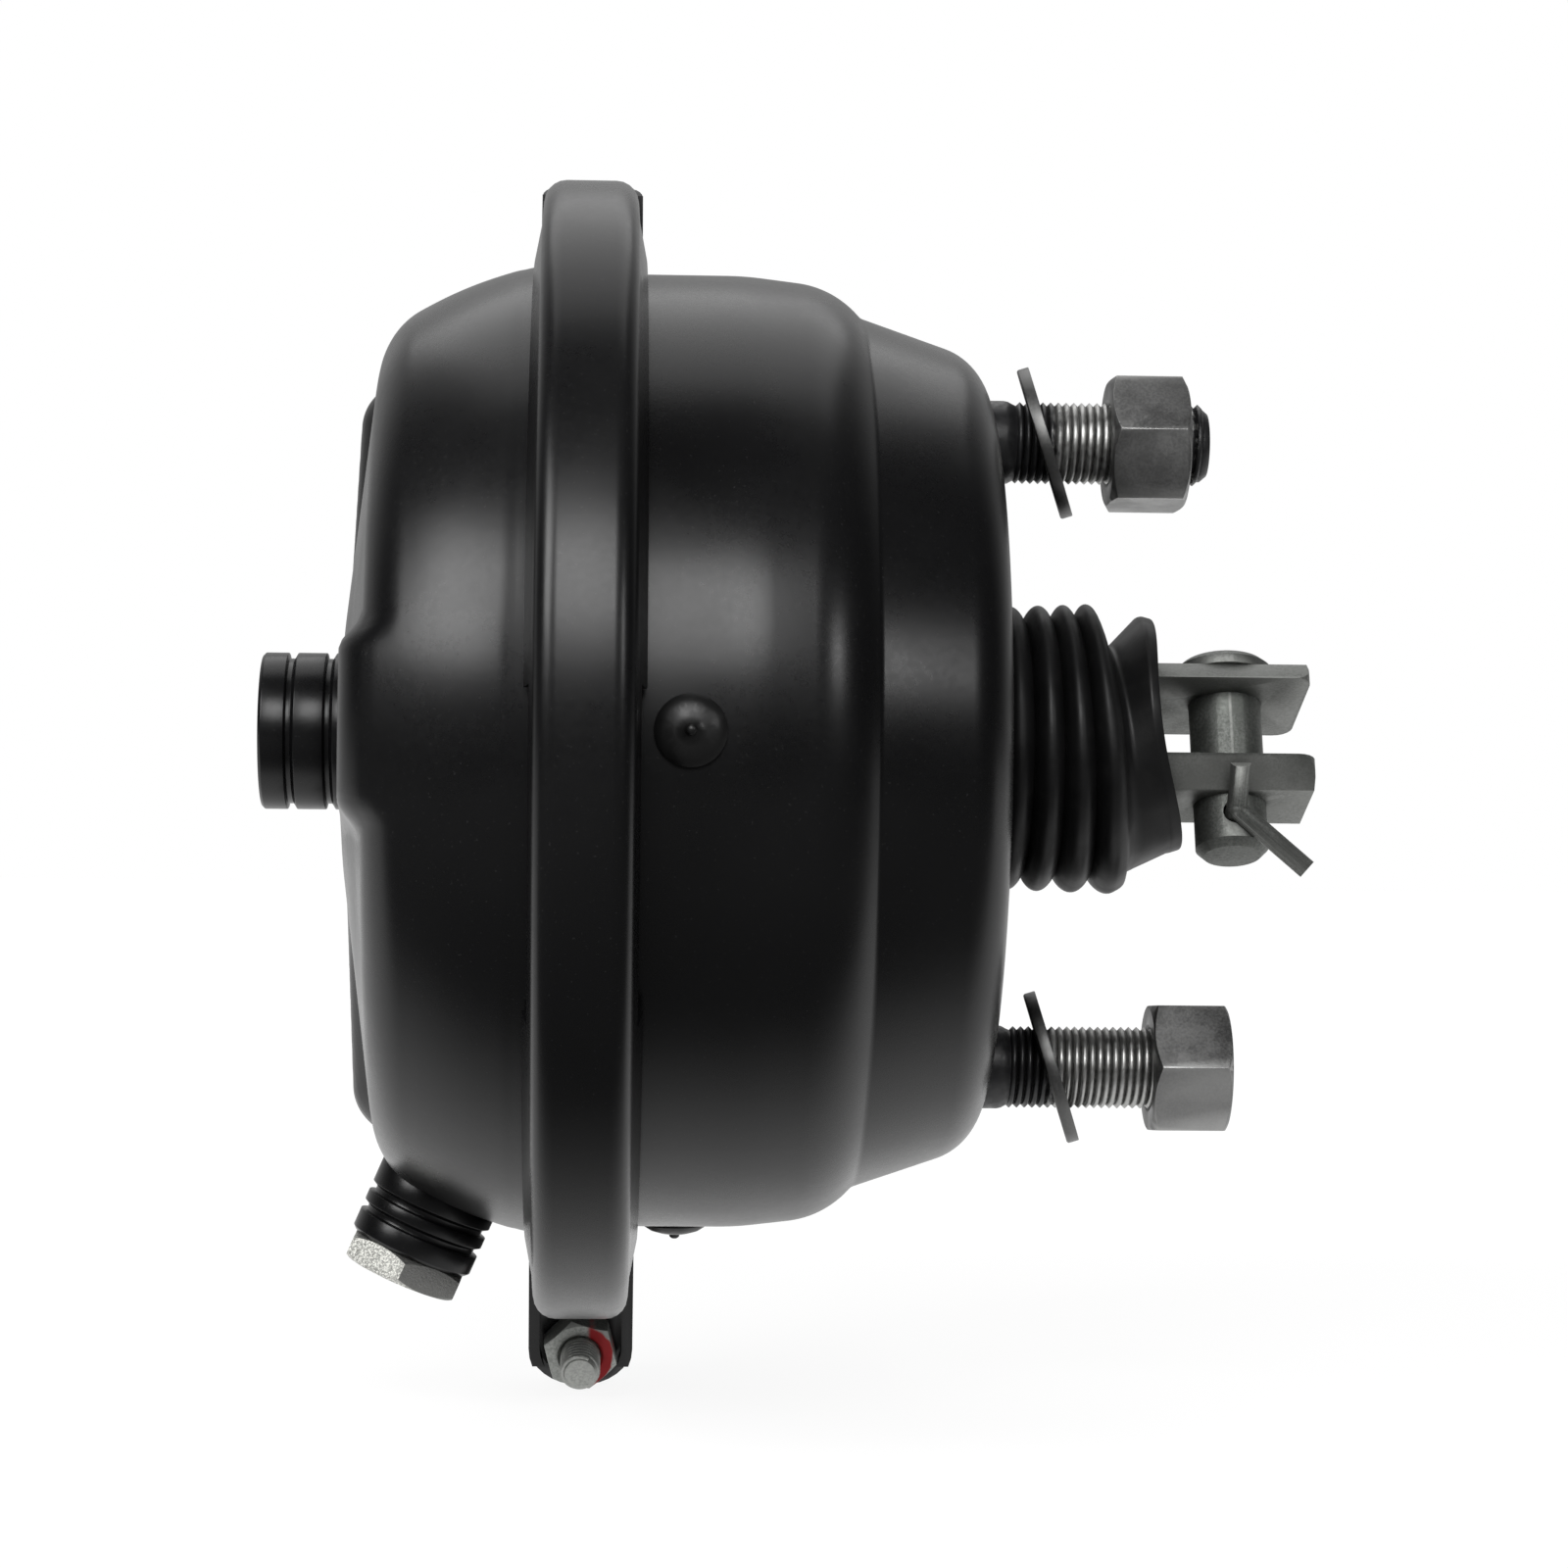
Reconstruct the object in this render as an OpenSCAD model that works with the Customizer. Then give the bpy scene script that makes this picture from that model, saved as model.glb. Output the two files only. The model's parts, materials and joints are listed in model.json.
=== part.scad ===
// Diaphragm brake chamber: a two-part pressed housing held by a band clamp, with a sprung
// pushrod that ends in a clevis. X runs along the pushrod, towards the clevis. The origin is
// the centre of the mounting face that the two studs stand on. Z is up, and all sizes are mm.

/* [Housings] */
// Thickness of the pressed housing sheet
sheet = 3; // [2.5:0.1:3.5]
// Outer radius of the barrel of the non-pressure housing
barrel_r = 91; // [89:0.5:92]
// Outer radius of the flanges under the clamp
flange_r = 102.5; // [101:0.5:103.5]
// Distance from the mounting face to the middle of the clamp
clamp_back = 75.6; // [72:0.2:80]
// Distance from the mounting face to the crease round the stepped end
crease_back = 24.5; // [22:0.5:27]
// Outer radius at the crease
crease_r = 83.4; // [82:0.2:85]
// Radius where the stepped end's slope would meet the mounting face
step_r = 75.1; // [74:0.1:77]
// Rounding of the edge round the mounting face
face_edge_r = 12; // [8:0.5:14]
// Distance from the clamp's middle to the raised end of the pressure housing
dome_depth = 45.6; // [43:0.2:50]
// Radius where the dome's side wall would meet the raised end
dome_end_r = 76.6; // [74:0.1:79]
// Depth of the valleys at the radius of that corner
valley_depth = 6.8; // [4:0.2:8]
// Radius of the round land in the middle of the raised end
land_r = 26; // [22:1:30]
// Width of a raised lobe at its top
lobe_w = 29; // [22:1:34]
// Widening of each lobe flank for each mm of its height
lobe_draft = 1.1; // [0.6:0.1:1.4]
// Angle by which the lobes are turned about the axis
lobe_turn = 3; // [-10:1:10]

/* [Clamp] */
// Clearance between the flanges' edge and the clamp's crown
clamp_over = 2.8; // [2:0.1:4]
// Thickness of the clamp's sheet
clamp_t = 3.2; // [2.4:0.1:3.3]
// Width of the clamp at its crown
crown_w = 17.2; // [16.8:0.2:19]
// Width of the clamp at its open edges
clamp_w = 21; // [20:0.2:23]
// Height of the clamp's open edges above the barrel
clamp_foot_h = 2.8; // [2.6:0.1:4]
// Angle of the lower clamp joint from the photographed side, positive upwards
lower_joint_a = -107; // [-115:1:-95]
// Angle of the upper clamp joint
upper_joint_a = 119; // [110:1:130]
// Distance from the clamp's crown to the clamp bolts
lug_rise = 12.5; // [11:0.5:16]
// Distance from the clamp's crown to the upper joint's bolt
upper_lug_rise = 7.3; // [7.1:0.1:9]
// Width of the clamp lugs
lug_w = 20.6; // [19.5:0.2:22]
// Thickness of a lug
lug_t = 4; // [3:0.5:5]
// Gap between two lugs
lug_gap = 7; // [5:0.5:9]
// Height of the rim round a lug
lug_rim_h = 3; // [2:0.5:4]
// Thread diameter of the clamp bolts
lug_bolt_d = 8; // [7:0.5:8]
// Length of bolt that stands out of the nut
lug_bolt_out = 8; // [4:0.5:12]
// Angle range above the photographed side's middle where the clamp's sides are cut back
relief_top_a = 6; // [2:1:12]
// Angle range below the middle where the clamp's sides are cut back
relief_low_a = 29; // [20:1:35]

/* [Diaphragm and pushrod] */
// Thickness of the diaphragm's clamped rim
bead_t = 5; // [4:0.2:6]
// Thickness of the diaphragm's wall
diaphragm_t = 3; // [2.5:0.1:3.5]
// Radius of the diaphragm's flat middle
diaphragm_flat_r = 64; // [60:1:66]
// Radius of the push plate
plate_r = 57; // [50:1:60]
// Thickness of the push plate
plate_t = 4; // [3:0.5:5]
// Diameter of the pushrod
rod_d = 16; // [15.9:0.1:18]
// Height of the pushrod above the axis
rod_lift = 2.6; // [0:0.1:3.5]
// Distance from the mounting face to the pushrod's outer end
rod_out = 28; // [25:0.5:28.5]
// Wire diameter of the return spring
wire_d = 4.6; // [3.5:0.1:5]
// Coil radius of the spring at the push plate
spring_small_r = 26; // [22:1:30]
// Coil radius of the spring at the stud plate
spring_large_r = 43; // [36:1:44]
// Number of turns of the spring
spring_turns = 6; // [5:1:7]

/* [Studs] */
// Distance between the studs
stud_spacing = 120.65; // [118:0.05:122]
// Diameter of the painted shank next to the mounting face
stud_shank_d = 16.1; // [16.1:0.1:16.4]
// Length of the painted shank
stud_shank_len = 5; // [4:0.5:6]
// Major diameter of the stud thread
thread_d = 15.75; // [15.7:0.01:15.77]
// Distance from the mounting face to the stud's end
stud_out = 43.6; // [42:0.2:46]
// Diameter of the pressed-in part of the stud
stud_press_d = 16.8; // [16.5:0.1:17.2]
// Diameter of the stud's head
stud_head_d = 23; // [20:0.5:23.5]
// Thickness of the stud's head
stud_head_h = 4.5; // [3:0.5:6]
// Thickness of the plate that backs the studs
stud_plate_t = 5; // [4:0.5:6]
// Width across the flats of the stud nuts
nut_af = 24; // [23:0.5:25]
// Height of the stud nuts
nut_h = 15; // [13:0.5:16]
// Distance from the mounting face to the upper nut
upper_nut_x = 24.4; // [23:0.2:26]
// Distance from the mounting face to the lower nut
lower_nut_x = 33.6; // [31:0.2:35]
// Outer diameter of the washers
washer_od = 30; // [28:0.5:32]
// Bore of the washers
washer_id = 17.5; // [17.5:0.1:18.5]
// Thickness of the washers
washer_t = 2.4; // [2:0.1:2.5]
// Distance from the mounting face to the middle of the upper washer
upper_washer_x = 12.3; // [12:0.1:16]
// Distance from the mounting face to the middle of the lower washer
lower_washer_x = 14.8; // [12:0.1:18]
// Angle at which the washers hang on the threads
washer_tilt = 17.2; // [10:0.2:17.2]

/* [Boot] */
// Radius of the boot over its folds
boot_r = 27.4; // [26:0.2:28.4]
// Depth of the grooves between the folds
fold_depth = 3.6; // [2.5:0.1:4.5]
// Distance from one fold to the next
fold_pitch = 5.2; // [4.8:0.1:5.4]
// Height of the folds' middle above the axis
fold_lift = 1.3; // [0:0.1:1.6]
// Wall thickness of the boot
boot_wall = 1.8; // [1.4:0.1:2.2]
// Radius of the boot's neck behind the skirt
boot_neck_r = 22; // [21.5:0.1:23]
// Radius of the skirt's edge
skirt_r = 22.6; // [22:0.1:24]
// Distance from the mounting face to the middle of the skirt's edge
skirt_x = 36; // [34:0.5:37]
// Height of the skirt's middle above the axis
skirt_lift = 3.6; // [2:0.2:4]
// Angle at which the skirt's edge leans
skirt_lean = 11; // [4:0.2:12]
// Radius of the hole that the boot is buttoned into
boot_hole_r = 22.3; // [21:0.1:23]
// Radius of the shallow seat round the boot
boot_seat_r = 29.5; // [29:0.5:32]
// Depth of that seat
boot_seat_h = 0.8; // [0.5:0.1:1]

/* [Clevis] */
// Distance from the mounting face to the pin
pin_x = 48.3; // [47:0.1:50]
// Angle at which the clevis is turned about the pushrod
clevis_roll = 22.5; // [0:0.5:45]
// Gap between the ears
clevis_gap = 15.7; // [15:0.1:18]
// Thickness of an ear
ear_t = 5.3; // [4.5:0.1:6]
// Width of an ear at its inner face
ear_in_w = 28; // [26:0.5:30]
// Width of an ear at its outer face
ear_out_w = 17; // [15:0.5:20]
// Distance from the pin to the end of the ears
ear_end = 15; // [13:0.5:17]
// Distance from the pin to the bottom of the slot
slot_depth = 17.8; // [16:0.2:18.4]
// Radius of the clevis's hub
hub_r = 13; // [12:0.5:13]
// Distance from the mounting face to the hub's back
hub_x = 16.2; // [15:0.2:17]
// Height of the lock nut
lock_nut_h = 8; // [6:0.5:9]
// Diameter of the clevis pin
pin_d = 14; // [12:0.5:14]
// Diameter of the clevis pin's head
pin_head_d = 19; // [17:0.5:21]
// Height of the clevis pin's head
pin_head_h = 4; // [3:0.5:5]
// Length of pin below the lower ear
pin_tail = 10.3; // [9.5:0.1:12]
// Distance from the lower ear to the split pin
split_drop = 3.7; // [3.6:0.1:4.5]
// Diameter of the hole for the split pin
split_hole_d = 4.8; // [4.4:0.1:5]
// Diameter of the split pin
split_d = 3.9; // [3.4:0.1:3.9]
// Length of the leg that is bent up
short_leg = 9.6; // [7:0.2:10]
// Length of the leg that is bent down
long_leg = 17.6; // [12:0.2:20]

/* [Ports] */
// Outer diameter of the boss of the end port
port_d = 30; // [28:0.5:32]
// Length of that boss
port_len = 16.3; // [15:0.1:18]
// Radius of its tapped hole
port_bore_r = 10.19; // [9.5:0.01:10.5]
// Height of the end port above the axis
port_z = 3.1; // [0:0.5:6]
// Diameter of the boss of the side port
side_port_d = 24.2; // [22:0.2:25]
// Length of the side boss from the dome's surface, on its axis
side_port_len = 12.8; // [12:0.2:16]
// Distance from the mounting face to where the side boss meets the dome
side_port_back = 103.2; // [102:0.2:105]
// Angle of the side boss from the vertical
side_port_a = 23.5; // [18:0.5:28]
// Radius of the side boss's tapped hole
side_bore_r = 8; // [7:0.1:8.4]
// Width across the flats of the plug in the side port
plug_af = 22; // [20:0.5:23]
// Height of the plug's head
plug_h = 5.4; // [4:0.2:7]
// Depth of the grooves round both bosses
port_groove = 1.1; // [0.6:0.1:1.4]

/* [Vents] */
// Distance from the mounting face to the vent plugs
vent_back = 57.6; // [56:0.2:62]
// Diameter of a vent plug's cap
vent_d = 12.6; // [10:0.2:14]
// Height of a vent plug's dome
vent_h = 2.6; // [2:0.1:4]
// Radius of the hole in the housing under a vent plug
vent_hole_r = 3.2; // [2.5:0.1:4]

/* [Hidden] */
$fn = 72;

paint = [0.07, 0.07, 0.075];
rubber = [0.05, 0.05, 0.05];
zinc = [0.62, 0.64, 0.62];
dark_steel = [0.32, 0.33, 0.33];

// Radii of the clamp
clamp_r = flange_r + clamp_over + clamp_t;
clamp_foot_r = barrel_r + clamp_foot_h;
lug_bolt_r = clamp_r + lug_rise;
upper_bolt_r = clamp_r + upper_lug_rise;

// Planes along the axis
clamp_x = -clamp_back;
pressure_seat_x = clamp_x - bead_t / 2;
non_pressure_seat_x = clamp_x + bead_t / 2;
dome_x = clamp_x - dome_depth;
hair = 0.04;        // offset that keeps two surfaces from coinciding
fit = 0.1;          // clearance round what is pressed or welded in
screw_fit = 0.02;   // clearance of a thread in its nut
air = 0.3;          // clearance between pieces that move on each other
diaphragm_x = dome_x + sheet + diaphragm_t + 6.4;
plate_x = diaphragm_x + fit;
stud_plate_x = -sheet - fit;
spring_seat_x = stud_plate_x - stud_plate_t;
eps = 0.01;

// Vector and outline helpers, with points as [x, radius]
function unit(v) = v / norm(v);
function turned(v) = [-v.y, v.x];
function reversed(p) = [for (i = [len(p) - 1 : -1 : 0]) p[i]];
function arc(c, r, a, sweep, n) = [for (i = [0 : n]) c + r * [cos(a + sweep * i / n), sin(a + sweep * i / n)]];
function wrapped(a) = a > 180 ? a - 360 : a < -180 ? a + 360 : a;
function corner(a, b, c, r, n) =
    let (
        u = unit(a - b),
        v = unit(c - b),
        half = acos(u * v) / 2,
        mid = b + unit(u + v) * r / sin(half),
        p = b + u * r / tan(half) - mid,
        q = b + v * r / tan(half) - mid,
        start = atan2(p.y, p.x)
    )
    arc(mid, r, start, wrapped(atan2(q.y, q.x) - start), n);
function rounded(p, radii, n = 5) = [
    for (i = [0 : len(p) - 1])
        each (radii[i] == 0 ? [p[i]] : corner(p[i - 1], p[i], p[i + 1], radii[i], n))
];
function beside(p, t) = [
    for (i = [0 : len(p) - 1])
        let (
            a = turned(unit(i > 0 ? p[i] - p[i - 1] : p[1] - p[0])),
            b = turned(unit(i < len(p) - 1 ? p[i + 1] - p[i] : p[i] - p[i - 1]))
        )
        p[i] + (a + b) * t / (1 + a * b)
];
function strip(p, t) = concat(p, reversed(beside(p, t)));
function smooth(t) = let (u = min(1, max(0, t))) u * u * (3 - 2 * u);

// Places and revolved shapes
module along_x() rotate([0, 90, 0]) children();
module at_angle(a) rotate([90 - a, 0, 0]) children();
module revolved(p) along_x() rotate_extrude() polygon([for (q = p) [q.y, q.x]]);
module revolved_part(p, a0, a1) along_x() rotate([0, 0, -(a1 + 90)])
    rotate_extrude(angle = a1 - a0) polygon([for (q = p) [q.y, q.x]]);
module on_studs(side) translate([0, 0, side * stud_spacing / 2]) children();
module in_clevis() translate([pin_x, 0, rod_lift]) rotate([-clevis_roll, 0, 0]) children();

// A hexagon nut or head from x = 0 to h, with its corners turned down at both ends
module hexagon(af, h, bore_r) {
    corner_r = af / sqrt(3);
    turned_r = af / 2 * 0.98;
    drop = (corner_r - turned_r) * tan(30);
    difference() {
        intersection() {
            along_x() cylinder(r = corner_r, h = h, $fn = 6);
            revolved([[0, 0], [0, turned_r], [drop, corner_r + eps], [h - drop, corner_r + eps], [h, turned_r], [h, 0]]);
        }
        if (bore_r > 0)
            revolved([
                [-1, 0], [-1, bore_r + 1.6], [0.6, bore_r], [h - 0.6, bore_r], [h + 1, bore_r + 1.6], [h + 1, 0]
            ]);
    }
}

// The two housings
wall_top_r = barrel_r + 1.8;
wall_slope = tan(24.5);
wall_knee = [dome_x + (wall_top_r - 1 - dome_end_r) / wall_slope, wall_top_r - 1];
wall_end = [dome_x, dome_end_r];
valley_corner = [dome_x + valley_depth + 0.6, dome_end_r + (valley_depth + 0.6) * wall_slope];
flange_tip = [pressure_seat_x - sheet, flange_r];
wall_root = [pressure_seat_x - sheet, wall_top_r];
valley_line = rounded(
    [flange_tip, wall_root, wall_knee, valley_corner, [dome_x + hair, land_r], [dome_x + hair, 0]],
    [0, 2, 20, 12, 3, 0]
);
function dome_r_at(x) = dome_end_r + (x - dome_x) * wall_slope;
// The raised end, a hair under the wall that it shares with the valleys and depth below its surface
function raised_end(depth) =
    let (x0 = dome_x + depth, x1 = dome_x + 24, drop = (depth + hair) * sqrt(1 + wall_slope * wall_slope))
    rounded(
        [[x0, 0], [x0, dome_r_at(x0) - drop], [x1, dome_r_at(x1) - drop], [x1, 0]],
        [0, 12 - depth, 0, 0]
    );

module dome(p, mouth_x) revolved(concat(p, [[mouth_x, 0], [mouth_x, p[0].y]]));

module lobes(w, top_x) {
    reach = 20;
    spread = w / 2 + reach * lobe_draft;
    section = rounded(
        [[top_x + reach, -spread], [top_x, -w / 2], [top_x, w / 2], [top_x + reach, spread]],
        [0, 7, 7, 0], 4
    );
    for (a = [0, 120, 240])
        at_angle(a + lobe_turn) linear_extrude(dome_end_r + 20) polygon(section);
}

module dome_outside(grow = 0) {
    dome(beside(valley_line, -grow), pressure_seat_x);
    intersection() {
        revolved(raised_end(-grow));
        lobes(lobe_w + 2 * grow, dome_x - hair - grow);
    }
}

module dome_inside() {
    inner_valley = beside(valley_line, sheet);
    dome([for (i = [1 : len(inner_valley) - 1]) inner_valley[i]], pressure_seat_x + 1);
    intersection() {
        revolved(raised_end(sheet));
        lobes(lobe_w - sheet, dome_x + sheet - hair);
    }
}

module on_side_port() translate([-side_port_back, 0, -dome_r_at(-side_port_back)])
    rotate([0, side_port_a, 0]) rotate([180, 0, 0]) children();

module pressure_housing() {
    color(paint) difference() {
        dome_outside();
        dome_inside();
        translate([dome_x - 1, 0, port_z]) along_x() cylinder(r = port_bore_r - 1.2, h = sheet + 2);
        on_side_port() translate([0, 0, -12]) cylinder(r = side_bore_r - 1.2, h = 20);
    }
}

shoulder_slope = tan(46.9);
shoulder_run = 5.3; // length along the axis of the steep band beside the crease, before it is rounded
non_pressure_line = rounded(
    [
        [non_pressure_seat_x + sheet, flange_r],
        [non_pressure_seat_x + sheet, barrel_r],
        [-crease_back - 22, barrel_r],
        [-crease_back - shoulder_run, crease_r + shoulder_run * shoulder_slope],
        [-crease_back, crease_r],
        [0, step_r],
        [0, 0]
    ],
    [0, 3, 60, 18, 2.5, face_edge_r, 0], 6
);

module non_pressure_housing() {
    color(paint) difference() {
        revolved(strip(non_pressure_line, -sheet));
        translate([-sheet - 1, 0, 0]) along_x() cylinder(r = boot_hole_r, h = sheet + 2);
        translate([-boot_seat_h, 0, 0]) along_x() cylinder(r = boot_seat_r, h = 5);
        for (side = [-1, 1])
            on_studs(side) translate([-sheet - 1, 0, 0]) along_x()
                cylinder(d = stud_press_d + fit, h = sheet + 2);
        for (a = vent_angles)
            on_vent(a) translate([0, 0, -sheet - 2]) cylinder(r = vent_hole_r + fit, h = sheet + 4);
    }
}

// The diaphragm, held by its rim between the flanges
module diaphragm() {
    back_r = valley_corner.y - sheet - diaphragm_t;
    wall_line = rounded(
        [
            [clamp_x, flange_r - 6],
            [clamp_x, wall_top_r - sheet - 4.6],
            [wall_knee.x, wall_top_r - sheet - 5.2],
            [diaphragm_x - diaphragm_t / 2, diaphragm_flat_r + 5],
            [diaphragm_x - diaphragm_t / 2, 0]
        ],
        [0, 3.5, 20, 9, 0], 4
    );
    color(rubber) union() {
        revolved(strip(beside(wall_line, -diaphragm_t / 2), diaphragm_t));
        revolved([
            [pressure_seat_x + eps, wall_top_r - 1],
            [pressure_seat_x + eps, flange_r - 1],
            [non_pressure_seat_x - eps, flange_r - 1],
            [non_pressure_seat_x - eps, wall_top_r - 1],
            [clamp_x + diaphragm_t / 2 - 0.2, wall_top_r - sheet - 1.5],
            [clamp_x - diaphragm_t / 2 + 0.2, wall_top_r - sheet - 1.5]
        ]);
    }
}

// The clamp: a channel in two pieces, whose ends turn up into lugs
clamp_line = rounded(
    [
        [clamp_x - clamp_w / 2, clamp_foot_r],
        [clamp_x - crown_w / 2 - 0.5, clamp_r - 7.5],
        [clamp_x - crown_w / 2, clamp_r],
        [clamp_x + crown_w / 2, clamp_r],
        [clamp_x + crown_w / 2 + 0.5, clamp_r - 7.5],
        [clamp_x + clamp_w / 2, clamp_foot_r]
    ],
    [0, 8, 4.2, 4.2, 8, 0]
);
clamp_inside = beside(clamp_line, -clamp_t);
lug_turn = 3; // angle by which the channel stops short of the middle of a joint

module lug_shape(w, round_end, below) {
    foot = clamp_r - 9.5 - below;
    if (round_end) {
        outline = arc([0, lug_bolt_r], w / 2, 0, 180, 16);
        translate([clamp_x, 0]) polygon(concat([[-w / 2, foot], [w / 2, foot]], outline));
    } else {
        top = lug_bolt_r + w / 2 - 1;
        translate([clamp_x, 0]) polygon(rounded(
            [[0, foot], [-w / 2, foot], [-w / 2, top], [w / 2, top], [w / 2, foot], [0, foot]],
            [0, 0, 3, 3, 0, 0]
        ));
    }
}

// One lug of the joint at angle a. side is 1 for the lug on the larger angles' side.
module lug(a, side, round_end) {
    bolt_r = round_end ? lug_bolt_r : upper_bolt_r;
    at_angle(a) mirror([0, side > 0 ? 0 : 1, 0]) difference() {
        translate([0, lug_gap / 2 + lug_t + lug_rim_h, 0]) rotate([90, 0, 0])
            linear_extrude(lug_t + lug_rim_h) lug_shape(lug_w, round_end, 0);
        translate([0, lug_gap / 2 + lug_t + lug_rim_h + 1, 0]) rotate([90, 0, 0])
            linear_extrude(lug_rim_h + 1) lug_shape(lug_w - 4.4, round_end, 1);
        translate([clamp_x - lug_w, lug_gap / 2 + lug_t + 0.6, lug_bolt_r + 3]) rotate([20, 0, 0])
            cube([2 * lug_w, 20, 30]);
        translate([clamp_x, 0, bolt_r]) rotate([90, 0, 0])
            cylinder(d = lug_bolt_d + 0.6, h = 4 * (lug_gap + lug_t + lug_rim_h), center = true);
    }
}

module channel_space() {
    space = beside(clamp_line, -clamp_t - hair);
    revolved(concat([[space[0].x, clamp_foot_r - 5]], space, [[space[len(space) - 1].x, clamp_foot_r - 5]]));
}

module clamp_piece(a0, a1) {
    revolved_part(strip(clamp_line, -clamp_t), a0 + lug_turn, a1 - lug_turn);
}

module relief() {
    depth = 7;
    for (side = [-1, 1])
        revolved_part(
            [
                [clamp_x + side * 30, clamp_foot_r - 3],
                [clamp_x + side * 4, clamp_foot_r - 3],
                [clamp_x + side * 4, clamp_foot_r + depth - 2.5],
                [clamp_x + side * 30, clamp_foot_r + depth]
            ],
            -relief_low_a, relief_top_a
        );
}

module clamp_front() {
    color(paint) difference() {
        union() {
            clamp_piece(lower_joint_a, upper_joint_a);
            lug(lower_joint_a, 1, true);
            lug(upper_joint_a, -1, false);
        }
        channel_space();
        relief();
    }
}

module clamp_rear() {
    color(paint) difference() {
        union() {
            clamp_piece(upper_joint_a, lower_joint_a + 360);
            lug(lower_joint_a, -1, true);
            lug(upper_joint_a, 1, false);
        }
        channel_space();
    }
}

// What is on a clamp bolt, from x = 0 at the middle of the joint towards the nut
module on_clamp_bolt(a, r) at_angle(a) translate([clamp_x, 0, r]) rotate([0, 0, 90]) children();
lug_face = lug_gap / 2 + lug_t;
clamp_nut_af = 13;
clamp_nut_h = 6.5;
clamp_head_h = 5.3;

module clamp_bolt(a, r, turn) {
    thread_r = lug_bolt_d / 2 - 0.05;
    far = lug_face + clamp_nut_h + lug_bolt_out;
    color(zinc) on_clamp_bolt(a, r) union() {
        revolved([
            [-lug_face - 1, 0], [-lug_face - 1, thread_r], [far - 0.9, thread_r], [far, thread_r - 0.9], [far, 0]
        ]);
        translate([-lug_face - clamp_head_h, 0, 0]) rotate([turn, 0, 0]) hexagon(clamp_nut_af, clamp_head_h, 0);
    }
}

module clamp_nut(a, r, turn) {
    color(zinc) on_clamp_bolt(a, r) translate([lug_face, 0, 0]) rotate([turn, 0, 0])
        hexagon(clamp_nut_af, clamp_nut_h, lug_bolt_d / 2 - 0.05 + screw_fit);
}

// The studs, the plate behind them, and what hangs on them
module stud_plate() {
    inner_edge = step_r - face_edge_r * 0.69;
    color(dark_steel) difference() {
        revolved([
            [spring_seat_x, boot_hole_r + 3.9],
            [stud_plate_x, boot_hole_r + 3.9],
            [stud_plate_x, inner_edge],
            [stud_plate_x - stud_plate_t * 0.5, inner_edge + 4.6],
            [spring_seat_x, inner_edge + 6.2]
        ]);
        for (side = [-1, 1])
            on_studs(side) translate([spring_seat_x - 1, 0, 0]) along_x()
                cylinder(d = stud_press_d + fit, h = stud_plate_t + 2);
    }
}

module stud(side) {
    press_r = stud_press_d / 2;
    shank_r = stud_shank_d / 2;
    thread_r = thread_d / 2;
    neck_x = stud_shank_len + 1.5;
    head_x = spring_seat_x - stud_head_h;
    color(dark_steel) on_studs(side) revolved([
        [head_x, 0],
        [head_x, stud_head_d / 2 - 1],
        [head_x + 1, stud_head_d / 2],
        [spring_seat_x, stud_head_d / 2],
        [spring_seat_x, press_r],
        [0, press_r],
        [0, shank_r],
        [stud_shank_len, shank_r],
        [neck_x, thread_r - 0.6],
        [neck_x + 0.4, thread_r - 0.6],
        [neck_x + 1, thread_r],
        [stud_out - 2.2, thread_r],
        [stud_out - 1.2, thread_r - 1],
        [stud_out, thread_r - 1.7],
        [stud_out, 0]
    ]);
}

module washer(side, x) {
    color(dark_steel) on_studs(side) translate([x, 0, 0]) rotate([0, -washer_tilt, 0]) revolved([
        [-washer_t / 2, washer_id / 2],
        [-washer_t / 2, washer_od / 2 - 0.3],
        [-washer_t / 2 + 0.3, washer_od / 2],
        [washer_t / 2, washer_od / 2],
        [washer_t / 2, washer_id / 2]
    ]);
}

module stud_nut(side, x, turn) {
    color(dark_steel) on_studs(side) translate([x, 0, 0]) rotate([turn, 0, 0])
        hexagon(nut_af, nut_h, thread_d / 2 + screw_fit);
}

// The push plate, the pushrod and the spring
module push_plate() {
    lip = 6;
    color(dark_steel) revolved(strip(
        rounded([[plate_x, 0], [plate_x, plate_r], [plate_x + lip, plate_r + 1.5]], [0, 5, 0]),
        -plate_t
    ));
}

rod_thread_len = 34;
module pushrod() {
    r = rod_d / 2;
    thread_r = thread_d / 2;
    color(zinc) translate([0, 0, rod_lift]) revolved([
        [plate_x + plate_t, 0],
        [plate_x + plate_t, r + 2.5],
        [plate_x + plate_t + 2.5, r],
        [rod_out - rod_thread_len, r],
        [rod_out - rod_thread_len, thread_r],
        [rod_out - 1.2, thread_r],
        [rod_out, thread_r - 1.2],
        [rod_out, 0]
    ]);
}

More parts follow.
